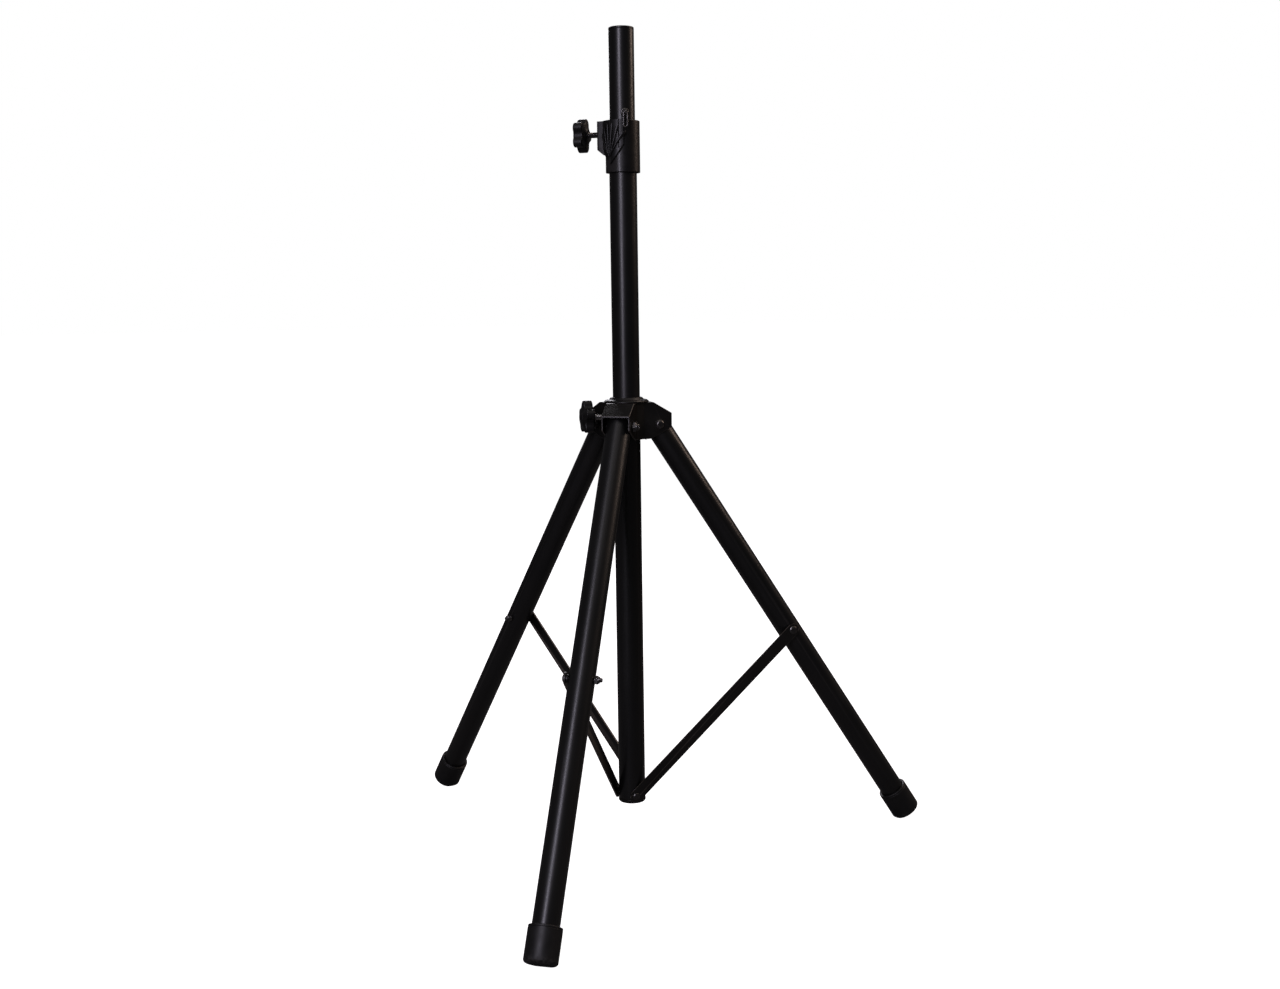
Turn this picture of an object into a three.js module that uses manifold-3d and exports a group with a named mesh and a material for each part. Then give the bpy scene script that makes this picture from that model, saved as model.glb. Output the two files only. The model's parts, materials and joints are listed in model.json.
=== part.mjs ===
// Tripod stand for a loudspeaker: a telescopic mast on three folding legs.
//
// Frame: +Z is up, the floor is z = 0, all sizes are millimetres. The mast axis is modelled
// at x = y = 0 and the whole stand is moved at the end so that the centre of its floor
// outline is the origin. Azimuth 0 points along -Y and grows towards +X.
//
// The hub slides on the mast. The three legs hang from the hub, and a flat brace ties each
// leg to the foot of the mast, so the legs fold against the mast as the hub slides up.

import * as THREE from "three";
import { mergeVertices } from "three/addons/utils/BufferGeometryUtils.js";
import Module from "manifold-3d";

const wasm = await Module();
wasm.setup();

// ---------------------------------------------------------------- driving dimensions
const GAP = 0.3; // between pieces that touch on the real stand
const ROUND = 28; // facets round a tube
const SMALL_ROUND = 12; // facets round a bolt
const HOLE_ROUND = 10; // facets round a pin hole

const LEG_COUNT = 3;
const FRONT_LEG_AZIMUTH = -15; // degrees
const HUB_KNOB_AZIMUTH = -75; // degrees, between two legs
const COLLAR_KNOB_AZIMUTH = -108;

// legs
const LEG_LENGTH = 724; // pivot to sole
const LEG_LEAN = 32.8; // degrees from vertical when open
const LEG_RADIUS = 17.4;
const LEG_WALL = 1.3;
const LEG_TIP_RADIUS = 20; // rounded upper end, about the pivot
const PIVOT_RADIUS = 42.5; // mast axis to leg pivot

// rubber feet
const FOOT_RADIUS = 21.5;
const FOOT_LENGTH = 45;
const FOOT_EDGE = 8; // rounding of the sole
const FOOT_SOLE = 10; // rubber under the end of the tube
const FOOT_WEAR = 0.6; // flat where the sole bears on the floor

// mast, the fixed lower tube
const MAST_RADIUS = 19.05;
const MAST_WALL = 1.2;
const MAST_LENGTH = 930;
const RIVET_EDGE = 6.4; // mast end to the rivets of the braces
const PLUG_LIP = 0.5; // plug flange beyond the mast
const PLUG_FLANGE = 5;
const PLUG_DEPTH = 15;
const PLUG_WALL = 4;

// pole, the sliding upper tube
const POLE_RADIUS = 17.5;
const POLE_WALL = 1.5;
const POLE_LENGTH = 1036;
const PIN_TO_TIP = 112.5; // pin hole in use to the upper end of the tube
const PIN_HOLE_STEP = 100;
const PIN_HOLE_COUNT = 7;
const CAP_HEIGHT = 3.2; // end cap above the tube
const CAP_EDGE = 2.4;
const CAP_DEPTH = 16;
const CAP_WALL = 2.2;
const GUIDE_PLAY = 0.2; // guide bush to the mast bore, on the radius
const GUIDE_SHOE = 12;
const GUIDE_DEPTH = 22;

// height collar on top of the mast
const COLLAR_RADIUS = 23.75;
const COLLAR_GRIP = 40; // length on the mast
const COLLAR_NECK = 30; // length round the pole above the mast
const COLLAR_KNOB_DROP = 17.2; // collar top to the stud
const BOSS_REACH = 33.8; // mast axis to the face of the knob boss
const BOSS_WIDTH = 24;
const BOSS_HEIGHT = 38; // flat face of the boss, from the collar top down
const BOSS_CHAMFER = 8;
const BOSS_CORNER = 3;
const SHIELD_AZIMUTH = -41; // degrees, middle of the ribbed shield
const SHIELD_RADIUS = 27.5;
const SHIELD_HALF_WIDTH = 24;
const SHIELD_HEIGHT = 59; // collar top to the point of the shield
const SHIELD_SIDE = 16; // length of its straight sides
const RIB_CREST = 29.2; // mast axis to the top of a rib
const RIB_WIDTH = 2.4;
const RIB_COUNT = 6;

// locking pin
const PIN_AZIMUTH = 8; // degrees
const PIN_RADIUS = 3.9;
const PIN_ABOVE_COLLAR = 9.4; // collar top to pin axis
const PIN_HEAD_RADIUS = 5.2;
const BAIL_WIRE = 0.95; // wire radius
const BAIL_DROP = 20;
const BAIL_HALF_WIDTH = 2.6;
const BAIL_REACH = 13; // pole surface to the wire
const BAIL_TONGUE = 2.6;

// hub
const HUB_SHEET = 2;
const HUB_HALF_WIDTH = 20.2; // outside of an arm
const HUB_REACH = 60.5; // mast axis to the end of an arm
const HUB_TOP = 31.5; // pivot up to the top plate
const ROOF_START = 34; // mast axis to the bend of the roof
const ROOF_DROP = 15.8; // top plate to the low end of the roof
const CHEEK_END_DROP = 4.5; // pivot down to the lower corner of the arm
const CHEEK_LOW_REACH = 30;
const HUB_SKIRT = 20.2; // pivot down to the lower rim
const HUB_WEB = 27.5; // mast axis to the flat between two arms
const HUB_STUD_RISE = 11.5; // pivot up to the stud
const SLEEVE_WALL = 1.3;
const SLEEVE_FLANGE_RADIUS = 31.5;
const SLEEVE_FLANGE_HEIGHT = 3.2;
const SLEEVE_NECK_RADIUS = 23.4;
const SLEEVE_NECK_HEIGHT = 3.4;
const SLEEVE_LOW = -18; // pivot to the lower end of the sleeve

// clamp knobs and their studs
const KNOB_RADIUS = 23.8;
const KNOB_LOBES = 5;
const LOBE_RADIUS = 6.9;
const SCALLOP_RADIUS = 8;
const KNOB_RIM = 13.5; // thickness at the rim
const KNOB_HUB = 10; // radius of the thick middle
const KNOB_FACE = 9.5; // middle plane to the outer face
const KNOB_BACK = 10; // middle plane to the back
const KNOB_STANDOFF = 25.6; // boss face to the middle of the collar knob
const HUB_KNOB_REACH = 57; // mast axis to the middle of the hub knob
const STUD_RADIUS = 4;
const STUD_IN_KNOB = 4; // middle plane to the end of the stud
const NUT_IN_BOSS = 8; // boss face to the captured nut
const PAD_RADIUS = 5.8;
const PAD_THICKNESS = 3;
const NUT_FLATS = 13;
const NUT_HEIGHT = 6.5;
const COLLAR_LOBE_TURN = 270; // degrees, first lobe of the knob from straight down
const HUB_LOBE_TURN = 180;

// braces
const BRACE_LENGTH = 331.5; // hole to hole
const BRACE_WIDTH = 17.5;
const BRACE_THICKNESS = 2.4;
const BRACE_OFFSET = 20.6; // mast axis to the near face of a brace
const BRACE_ON_LEG = 367; // leg pivot to the brace bolt

// fasteners
const PIVOT_BOLT_RADIUS = 4;
const BRACE_BOLT_RADIUS = 3;
const BRACE_NUT_FLATS = 10;
const BRACE_NUT_HEIGHT = 6;
const LEG_NAMES = ["front", "right", "left"];

// ---------------------------------------------------------------- derived positions
const rad = THREE.MathUtils.degToRad;
const lean = rad(LEG_LEAN);

const soleHeight =
  (FOOT_RADIUS - FOOT_EDGE) * Math.sin(lean) + FOOT_EDGE * (1 - Math.cos(lean)) - FOOT_WEAR;
const pivotZ = LEG_LENGTH * Math.cos(lean) + soleHeight;

const braceBoltR = PIVOT_RADIUS + BRACE_ON_LEG * Math.sin(lean);
const braceBoltZ = pivotZ - BRACE_ON_LEG * Math.cos(lean);
const rivetZ = braceBoltZ - Math.sqrt(BRACE_LENGTH ** 2 - braceBoltR ** 2);
const braceAngle = Math.atan2(braceBoltZ - rivetZ, braceBoltR);

const mastBottom = rivetZ - RIVET_EDGE;
const mastTop = mastBottom + MAST_LENGTH;
const mastBore = MAST_RADIUS - MAST_WALL;
const collarTop = mastTop + COLLAR_NECK;
const collarBottom = mastTop - COLLAR_GRIP;
const collarStudZ = collarTop - COLLAR_KNOB_DROP;
const pinZ = collarTop + PIN_ABOVE_COLLAR;
const poleTop = pinZ + PIN_TO_TIP;
const poleBottom = poleTop - POLE_LENGTH;

const sleeveBore = MAST_RADIUS + GAP;
const sleeveRadius = sleeveBore + SLEEVE_WALL;
const poleRunning = POLE_RADIUS + GAP;
const poleSpigot = POLE_RADIUS - POLE_WALL - GAP;
const collarPadNear = poleRunning + 0.2;
const collarNutNear = BOSS_REACH - NUT_IN_BOSS;
const collarPadBack = collarNutNear - 1.6;
const hubPadNear = MAST_RADIUS + GAP;
const bailAt = POLE_RADIUS + BAIL_REACH;
const braceMiddle = BRACE_OFFSET + BRACE_THICKNESS / 2;
const braceFar = BRACE_OFFSET + BRACE_THICKNESS;

// ---------------------------------------------------------------- materials
const paint = (color, roughness, metalness) => ({ color, roughness, metalness });
const powderCoat = paint(0x1b191b, 0.42, 0.25);
const satinSteel = paint(0x201e1f, 0.38, 0.4);
const blackPlastic = paint(0x161517, 0.55, 0);
const blackRubber = paint(0x141414, 0.85, 0);
const blackFastener = paint(0x262426, 0.35, 0.7);
const brightZinc = paint(0xc9c8c4, 0.25, 1);

// ---------------------------------------------------------------- solids
function toSolid(geometry) {
  const bare = geometry.index ? geometry.toNonIndexed() : geometry.clone();
  bare.deleteAttribute("normal");
  bare.deleteAttribute("uv");
  const merged = mergeVertices(bare, 1e-4);
  const mesh = new wasm.Mesh({
    numProp: 3,
    vertProperties: merged.attributes.position.array,
    triVerts: new Uint32Array(merged.index.array),
  });
  return new wasm.Manifold(mesh);
}

function toGeometry(solid) {
  const mesh = solid.getMesh();
  const geometry = new THREE.BufferGeometry();
  geometry.setAttribute("position", new THREE.BufferAttribute(mesh.vertProperties, 3));
  geometry.setIndex(new THREE.BufferAttribute(mesh.triVerts, 1));
  geometry.computeVertexNormals();
  return geometry;
}

const cut = (geometry, ...tools) =>
  toGeometry(tools.reduce((solid, tool) => solid.subtract(toSolid(tool)), toSolid(geometry)));
const join = (geometry, ...others) =>
  toGeometry(others.reduce((solid, other) => solid.add(toSolid(other)), toSolid(geometry)));
const common = (a, b) => toGeometry(toSolid(a).intersect(toSolid(b)));

// A solid of revolution about Z from [radius, z] points; the outer side is listed upwards.
function revolve(profile, facets = ROUND) {
  const points = profile.map(([r, z]) => new THREE.Vector2(r, z));
  return new THREE.LatheGeometry(points, facets).rotateX(Math.PI / 2);
}

function tube(outer, inner, low, high, facets = ROUND) {
  const corners = [
    [outer, low],
    [outer, high],
    [inner, high],
    [inner, low],
  ];
  return revolve([...corners, corners[0]], facets);
}

function rod(radius, low, high, facets = SMALL_ROUND) {
  const height = high - low;
  return new THREE.CylinderGeometry(radius, radius, height, facets)
    .rotateX(Math.PI / 2)
    .translate(0, 0, low + height / 2);
}

// A hexagon prism about Z, by its width across flats.
const hexagon = (flats, low, high) => rod(flats / Math.sqrt(3), low, high, 6);

function block(low, high) {
  const size = high.map((value, axis) => value - low[axis]);
  const middle = high.map((value, axis) => (value + low[axis]) / 2);
  return new THREE.BoxGeometry(...size).translate(...middle);
}

// Pieces made about Z, laid along another axis: +Z goes to +X, to +Y or to -Y.
const alongX = (geometry) => geometry.rotateY(Math.PI / 2);
const alongY = (geometry) => geometry.rotateX(-Math.PI / 2);
const alongMinusY = (geometry) => alongY(geometry).rotateZ(Math.PI);

// Turns a piece made along +X so that it points along an azimuth.
const turn = (geometry, azimuth) => geometry.rotateZ(rad(azimuth - 90));

const outline = (points) => new THREE.Shape(points.map(([x, y]) => new THREE.Vector2(x, y)));

// An outline in the X-Z plane, given a width along Y.
function plate(shape, width, middle = 0) {
  return new THREE.ExtrudeGeometry(shape, { depth: width, bevelEnabled: false, curveSegments: 6 })
    .translate(0, 0, -width / 2)
    .rotateX(Math.PI / 2)
    .translate(0, middle, 0);
}

// An outline in the Y-Z plane, extruded along X from near to far.
function panel(shape, near, far) {
  const depth = far - near;
  return new THREE.ExtrudeGeometry(shape, { depth, bevelEnabled: false, curveSegments: 8 })
    .rotateX(Math.PI / 2)
    .rotateZ(Math.PI / 2)
    .translate(near, 0, 0);
}

// An outline in the X-Y plane, extruded along Z from low to high.
function column(shape, low, high) {
  const depth = high - low;
  return new THREE.ExtrudeGeometry(shape, { depth, bevelEnabled: false, curveSegments: 5 })
    .translate(0, 0, low);
}

function piece(name, geometry, finish) {
  const mesh = new THREE.Mesh(geometry, new THREE.MeshStandardMaterial(finish));
  mesh.name = name;
  return mesh;
}

// A dome-headed shank about Z: the head stands on z = seat and rises away from the shank end.
function domeHeaded(headRadius, headHeight, shankRadius, seat, end) {
  const profile = [
    [0, end],
    [shankRadius - 0.6, end],
    [shankRadius, end + 0.6],
    [shankRadius, seat],
    [headRadius, seat],
  ];
  for (let i = 0; i <= 2; i += 1) {
    const angle = (i / 3) * (Math.PI / 2);
    profile.push([headRadius * Math.cos(angle), seat + headHeight * (0.35 + 0.65 * Math.sin(angle))]);
  }
  profile.push([0, seat + headHeight]);
  return revolve(profile, SMALL_ROUND);
}

// ---------------------------------------------------------------- mast and pole
const legAzimuths = Array.from(
  { length: LEG_COUNT },
  (_, i) => FRONT_LEG_AZIMUTH + (i * 360) / LEG_COUNT,
);

// Holes on the brace side of each leg's plane, at the foot of the mast.
const rivetHoles = (depth) =>
  legAzimuths.map((azimuth) =>
    turn(alongY(rod(BRACE_BOLT_RADIUS + GAP, -MAST_RADIUS - 2, -depth)).translate(0, 0, rivetZ), azimuth),
  );

function makeMast() {
  const body = tube(MAST_RADIUS, mastBore, mastBottom, mastTop);
  return piece("mast_tube", cut(body, ...rivetHoles(mastBore - 2)), powderCoat);
}

function makeMastPlug() {
  const flange = MAST_RADIUS + PLUG_LIP;
  const bottom = mastBottom - GAP - PLUG_FLANGE;
  const spigot = mastBore - GAP;
  const top = mastBottom + PLUG_DEPTH;
  const body = revolve([
    [0, bottom],
    [flange - 1.5, bottom],
    [flange, bottom + 1.5],
    [flange, mastBottom - GAP],
    [spigot, mastBottom - GAP],
    [spigot, top - 1],
    [spigot - 1, top],
    [spigot - PLUG_WALL, top],
    [spigot - PLUG_WALL, mastBottom],
    [0, mastBottom],
  ]);
  return piece("mast_end_plug", cut(body, ...rivetHoles(spigot - PLUG_WALL - 2)), blackPlastic);
}

function makePole() {
  const body = tube(POLE_RADIUS, POLE_RADIUS - POLE_WALL, poleBottom, poleTop);
  const reach = POLE_RADIUS + 2;
  const holes = Array.from({ length: PIN_HOLE_COUNT }, (_, i) => {
    const hole = alongX(rod(PIN_RADIUS + GAP, -reach, reach, HOLE_ROUND));
    return turn(hole.translate(0, 0, pinZ - i * PIN_HOLE_STEP), PIN_AZIMUTH);
  });
  return piece("pole_tube", cut(body, ...holes), powderCoat);
}

function makePoleCap() {
  const seat = poleTop + GAP;
  const top = seat + CAP_HEIGHT;
  const profile = [
    [0, seat + 0.8],
    [poleSpigot - CAP_WALL, seat + 0.8],
    [poleSpigot - CAP_WALL, seat - CAP_DEPTH],
    [poleSpigot, seat - CAP_DEPTH],
    [poleSpigot, seat],
    [POLE_RADIUS, seat],
  ];
  for (let i = 0; i <= 3; i += 1) {
    const angle = (i / 3) * (Math.PI / 2);
    profile.push([
      POLE_RADIUS - CAP_EDGE * (1 - Math.cos(angle)),
      top - CAP_EDGE * (1 - Math.sin(angle)),
    ]);
  }
  profile.push([0, top]);
  return piece("pole_cap", revolve(profile), blackPlastic);
}

function makePoleGuide() {
  const outer = mastBore - GUIDE_PLAY;
  const seat = poleBottom - GAP;
  const low = seat - GUIDE_SHOE;
  const high = seat + GUIDE_DEPTH;
  const corners = [
    [outer - 1, low],
    [outer, low + 1],
    [outer, seat],
    [poleSpigot, seat],
    [poleSpigot, high],
    [poleSpigot - CAP_WALL, high],
    [poleSpigot - CAP_WALL, low],
  ];
  return piece("pole_guide_bush", revolve([...corners, corners[0]]), blackPlastic);
}

// ---------------------------------------------------------------- height collar
// The shield is an outline on a plane across its azimuth, wrapped on the collar by keeping
// what lies inside a slightly wider cylinder. Its ribs fan up from the point of the shield.
function shieldOutline() {
  const side = collarTop - SHIELD_SIDE;
  const bulge = collarTop - 0.68 * SHIELD_HEIGHT;
  const shape = new THREE.Shape();
  shape.moveTo(-SHIELD_HALF_WIDTH, collarTop);
  shape.lineTo(-SHIELD_HALF_WIDTH, side);
  shape.quadraticCurveTo(-0.8 * SHIELD_HALF_WIDTH, bulge, 0, collarTop - SHIELD_HEIGHT);
  shape.quadraticCurveTo(0.8 * SHIELD_HALF_WIDTH, bulge, SHIELD_HALF_WIDTH, side);
  shape.lineTo(SHIELD_HALF_WIDTH, collarTop);
  return shape;
}

function ribOutline(index) {
  const spread = (2 * index) / (RIB_COUNT - 1) - 1;
  const foot = new THREE.Vector2(3 * spread, collarTop - SHIELD_HEIGHT + 9 + 5 * spread ** 2);
  const tip = new THREE.Vector2(
    spread * (SHIELD_HALF_WIDTH - 3.5),
    collarTop - 4 - (SHIELD_SIDE - 4) * spread ** 2,
  );
  const along = tip.clone().sub(foot).normalize();
  const across = new THREE.Vector2(-along.y, along.x).multiplyScalar(RIB_WIDTH / 2);
  return new THREE.Shape([
    foot.clone().addScaledVector(across, 0.5),
    foot.clone().addScaledVector(across, -0.5),
    tip.clone().sub(across),
    tip.clone().addScaledVector(along, RIB_WIDTH / 2),
    tip.clone().add(across),
  ]);
}

function shieldWithRibs() {
  const wrapped = (shape, radius) =>
    common(
      panel(shape, MAST_RADIUS + 1, radius + 2),
      rod(radius, collarBottom, collarTop, ROUND),
    );
  const ribs = Array.from({ length: RIB_COUNT }, (_, i) => wrapped(ribOutline(i), RIB_CREST));
  return turn(join(wrapped(shieldOutline(), SHIELD_RADIUS), ...ribs), SHIELD_AZIMUTH);
}

// The block that carries the knob's thread: flat face, rounded corners, chamfered foot.
function knobBoss() {
  const flatLow = collarTop - BOSS_HEIGHT;
  const side = outline([
    [MAST_RADIUS, collarTop],
    [MAST_RADIUS, flatLow - BOSS_CHAMFER],
    [COLLAR_RADIUS, flatLow - BOSS_CHAMFER],
    [BOSS_REACH, flatLow],
    [BOSS_REACH, collarTop - 1],
    [BOSS_REACH - 1, collarTop],
  ]);
  const half = BOSS_WIDTH / 2;
  const plan = new THREE.Shape();
  plan.moveTo(MAST_RADIUS - 1, -half);
  plan.absarc(BOSS_REACH - BOSS_CORNER, BOSS_CORNER - half, BOSS_CORNER, -Math.PI / 2, 0);
  plan.absarc(BOSS_REACH - BOSS_CORNER, half - BOSS_CORNER, BOSS_CORNER, 0, Math.PI / 2);
  plan.lineTo(MAST_RADIUS - 1, half);
  return common(plate(side, BOSS_WIDTH + 2), column(plan, collarBottom, collarTop + 1));
}

function makeCollar() {
  const shell = revolve([
    [0, collarBottom],
    [COLLAR_RADIUS - 0.8, collarBottom],
    [COLLAR_RADIUS, collarBottom + 0.8],
    [COLLAR_RADIUS, collarTop - 1],
    [COLLAR_RADIUS - 1, collarTop],
    [0, collarTop],
  ]);
  const body = join(shell, shieldWithRibs(), turn(knobBoss(), COLLAR_KNOB_AZIMUTH));
  const poleBore = rod(poleRunning, collarBottom - 1, collarTop + 2, ROUND);
  const mastSeat = rod(MAST_RADIUS + GAP, collarBottom - 1, mastTop + GAP, ROUND);
  const studHole = alongX(rod(STUD_RADIUS + GAP, POLE_RADIUS, BOSS_REACH + 1)).translate(0, 0, collarStudZ);
  const padPocket = alongX(rod(PAD_RADIUS + 0.4, POLE_RADIUS, collarPadBack)).translate(0, 0, collarStudZ);
  const nutHalf = NUT_FLATS / 2 + GAP;
  const nutSlot = block(
    [collarNutNear - GAP, -nutHalf, collarStudZ - nutHalf],
    [collarNutNear + NUT_HEIGHT + GAP, nutHalf, collarTop + 1],
  );
  const forKnob = [studHole, padPocket, nutSlot].map((tool) => turn(tool, COLLAR_KNOB_AZIMUTH));
  return piece("height_collar", cut(body, poleBore, mastSeat, ...forKnob), blackPlastic);
}

function makeCollarNut() {
  const half = NUT_FLATS / 2;
  const body = block(
    [collarNutNear, -half, collarStudZ - half],
    [collarNutNear + NUT_HEIGHT, half, collarStudZ + half],
  );
  const thread = alongX(rod(STUD_RADIUS + GAP, collarNutNear - 1, collarNutNear + NUT_HEIGHT + 1));
  const nut = cut(body, thread.translate(0, 0, collarStudZ));
  return piece("collar_nut", turn(nut, COLLAR_KNOB_AZIMUTH), blackFastener);
}

// ---------------------------------------------------------------- clamp knobs
// Lobed outline from arcs: a round lobe, then a scallop that touches it and the next lobe.
function lobedOutline() {
  const step = (2 * Math.PI) / KNOB_LOBES;
  const lobeAt = KNOB_RADIUS - LOBE_RADIUS;
  const reach = LOBE_RADIUS + SCALLOP_RADIUS;
  const half = step / 2;
  const scallopAt = lobeAt * Math.cos(half) + Math.sqrt(reach ** 2 - (lobeAt * Math.sin(half)) ** 2);
  const dx = scallopAt * Math.cos(half) - lobeAt;
  const dy = scallopAt * Math.sin(half);
  const contact = Math.atan2(dy, dx);
  const shape = new THREE.Shape();
  for (let i = 0; i < KNOB_LOBES; i += 1) {
    const turnBy = i * step;
    const lobe = new THREE.Vector2(lobeAt, 0).rotateAround(new THREE.Vector2(), turnBy);
    const scallop = new THREE.Vector2(scallopAt, 0).rotateAround(new THREE.Vector2(), turnBy + half);
    shape.absarc(lobe.x, lobe.y, LOBE_RADIUS, turnBy - contact, turnBy + contact, false);
    const inward = turnBy + contact + Math.PI;
    const outward = turnBy + step - contact + Math.PI;
    shape.absarc(scallop.x, scallop.y, SCALLOP_RADIUS, inward, outward, true);
  }
  return shape;
}

// Knob, stud and pad lie along +X; the knob's middle plane is at x = middle, and its first
// lobe is turned about X by lobeTurn degrees from straight down.
function makeKnob(name, middle, lobeTurn) {
  const rim = KNOB_RIM / 2;
  const dish = revolve([
    [0, -KNOB_BACK],
    [KNOB_HUB, -KNOB_BACK],
    [KNOB_HUB + 5, -rim - 1.6],
    [KNOB_RADIUS - 1.8, -rim],
    [KNOB_RADIUS + 0.2, -rim + 1.8],
    [KNOB_RADIUS + 0.2, rim - 1.8],
    [KNOB_RADIUS - 1.8, rim],
    [KNOB_HUB + 4, rim + 2.2],
    [KNOB_HUB, KNOB_FACE],
    [KNOB_HUB - 6, KNOB_FACE + 1],
    [0, KNOB_FACE + 1.4],
  ], 20);
  const star = column(lobedOutline(), -KNOB_BACK - 1, KNOB_FACE + 2).rotateZ(rad(lobeTurn));
  const socket = rod(STUD_RADIUS + GAP, -KNOB_BACK - 1, STUD_IN_KNOB + GAP);
  const body = alongX(cut(common(star, dish), socket));
  return piece(name, body.translate(middle, 0, 0), blackPlastic);
}

function makeStud(name, tip, middle, finish) {
  const end = middle + STUD_IN_KNOB;
  const body = revolve(
    [
      [0, tip],
      [STUD_RADIUS - 1, tip],
      [STUD_RADIUS, tip + 1],
      [STUD_RADIUS, end],
      [0, end],
    ],
    SMALL_ROUND,
  );
  return piece(name, alongX(body), finish);
}

function makePad(name, near) {
  const far = near + PAD_THICKNESS;
  const body = revolve(
    [
      [0, near],
      [PAD_RADIUS, near],
      [PAD_RADIUS, far - 0.6],
      [PAD_RADIUS - 0.6, far],
      [0, far],
    ],
    SMALL_ROUND,
  );
  return piece(name, alongX(body), blackPlastic);
}

// A whole clamp: its pad starts at padNear from the mast axis and its knob is at knobMiddle.
function makeClamp(prefix, { azimuth, height, padNear, knobMiddle, lobeTurn, finish }) {
  const clamp = new THREE.Group();
  clamp.rotation.z = rad(azimuth - 90);
  clamp.position.z = height;
  clamp.add(
    makePad(`${prefix}_pad`, padNear),
    makeStud(`${prefix}_stud`, padNear + PAD_THICKNESS + GAP, knobMiddle, finish),
    makeKnob(`${prefix}_knob`, knobMiddle, lobeTurn),
  );
  return clamp;
}

// ---------------------------------------------------------------- locking pin
function makePin() {
  const pin = new THREE.Group();
  pin.position.z = pinZ;
  pin.rotation.z = rad(PIN_AZIMUTH - 90);
  const headBack = POLE_RADIUS + 0.8;
  const shank = revolve(
    [
      [0, -POLE_RADIUS - 4],
      [PIN_RADIUS - 1.5, -POLE_RADIUS - 4],
      [PIN_RADIUS, -POLE_RADIUS - 2],
      [PIN_RADIUS, headBack],
      [PIN_HEAD_RADIUS, headBack],
      [PIN_HEAD_RADIUS, bailAt - 4],
      [PIN_HEAD_RADIUS - 1, bailAt - 3],
      [0, bailAt - 3],
    ],
    SMALL_ROUND,
  );
  const tongue = block([bailAt - 4, -BAIL_TONGUE / 2, -3], [bailAt + 2.6, BAIL_TONGUE / 2, 3]);
  const eye = alongY(rod(BAIL_WIRE + GAP, -5, 5, HOLE_ROUND)).translate(bailAt, 0, 0);
  const body = cut(join(alongX(shank), tongue), eye);
  pin.add(piece("locking_pin", body, blackFastener), makeBail());
  return pin;
}

// A wire link hanging from the eye of the pin; its two ends meet inside the eye.
function makeBail() {
  const side = BAIL_HALF_WIDTH;
  const low = side - BAIL_DROP;
  const path = new THREE.CurvePath();
  const at = (y, z) => new THREE.Vector3(bailAt, y, z);
  path.add(new THREE.LineCurve3(at(-0.2, 0), at(-side + 0.8, 0)));
  path.add(new THREE.QuadraticBezierCurve3(at(-side + 0.8, 0), at(-side, 0), at(-side, -0.8)));
  path.add(new THREE.LineCurve3(at(-side, -0.8), at(-side, low)));
  const arc = side * 1.33;
  const round = [at(-side, low), at(-side, low - arc), at(side, low - arc), at(side, low)];
  path.add(new THREE.CubicBezierCurve3(...round));
  path.add(new THREE.LineCurve3(at(side, low), at(side, -0.8)));
  path.add(new THREE.QuadraticBezierCurve3(at(side, -0.8), at(side, 0), at(side - 0.8, 0)));
  path.add(new THREE.LineCurve3(at(side - 0.8, 0), at(0.2, 0)));
  const section = new THREE.Shape().absarc(0, 0, BAIL_WIRE, 0, 2 * Math.PI);
  const wire = new THREE.ExtrudeGeometry(section, { steps: 30, extrudePath: path, curveSegments: 3 });
  return piece("pin_bail", wire, blackFastener);
}

// ---------------------------------------------------------------- hub
// Side view of one arm, shrunk by the sheet for the hollow inside it.
function armOutline(inset) {
  const top = HUB_TOP - inset;
  const roofLow = HUB_TOP - ROOF_DROP - inset;
  const open = inset > 0 ? 20 : 0;
  const shape = new THREE.Shape();
  shape.moveTo(0, -HUB_SKIRT - open);
  shape.lineTo(CHEEK_LOW_REACH - 4, -HUB_SKIRT - open);
  if (open === 0) shape.quadraticCurveTo(CHEEK_LOW_REACH, -HUB_SKIRT, CHEEK_LOW_REACH + 4, 2 - HUB_SKIRT);
  shape.lineTo(HUB_REACH + open, -CHEEK_END_DROP - open);
  shape.lineTo(HUB_REACH + open, roofLow - (open * ROOF_DROP) / (HUB_REACH - ROOF_START));
  shape.lineTo(ROOF_START, top);
  shape.lineTo(0, top);
  return shape;
}

// The three-sided middle: its flats close the corners between the arms, and its edges, which
// point along the legs, stop where the roofs start.
function hubCore(flat, low, high) {
  const prism = rod(flat / Math.cos(Math.PI / LEG_COUNT), low, high, LEG_COUNT);
  return common(prism.rotateZ(rad(FRONT_LEG_AZIMUTH)), rod(ROOF_START, low, high, ROUND));
}

function makeBracket() {
  const arms = (inset) =>
    legAzimuths.map((azimuth) =>
      turn(plate(armOutline(inset), 2 * (HUB_HALF_WIDTH - inset)), azimuth),
    );
  const outer = join(hubCore(HUB_WEB, -HUB_SKIRT, HUB_TOP), ...arms(0));
  const inner = join(
    hubCore(HUB_WEB - HUB_SHEET, -HUB_SKIRT - 5, HUB_TOP - HUB_SHEET),
    ...arms(HUB_SHEET),
  );
  const mastHole = rod(sleeveRadius + GAP, 0, HUB_TOP + 5, ROUND);
  const studHole = turn(
    alongX(rod(STUD_RADIUS + GAP, HUB_WEB - 6, HUB_WEB + 4)).translate(0, 0, HUB_STUD_RISE),
    HUB_KNOB_AZIMUTH,
  );
  const boltHoles = legAzimuths.map((azimuth) =>
    turn(alongY(rod(PIVOT_BOLT_RADIUS + GAP, -30, 30)).translate(PIVOT_RADIUS, 0, 0), azimuth),
  );
  return piece("hub_bracket", cut(outer, inner, mastHole, studHole, ...boltHoles), satinSteel);
}

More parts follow.
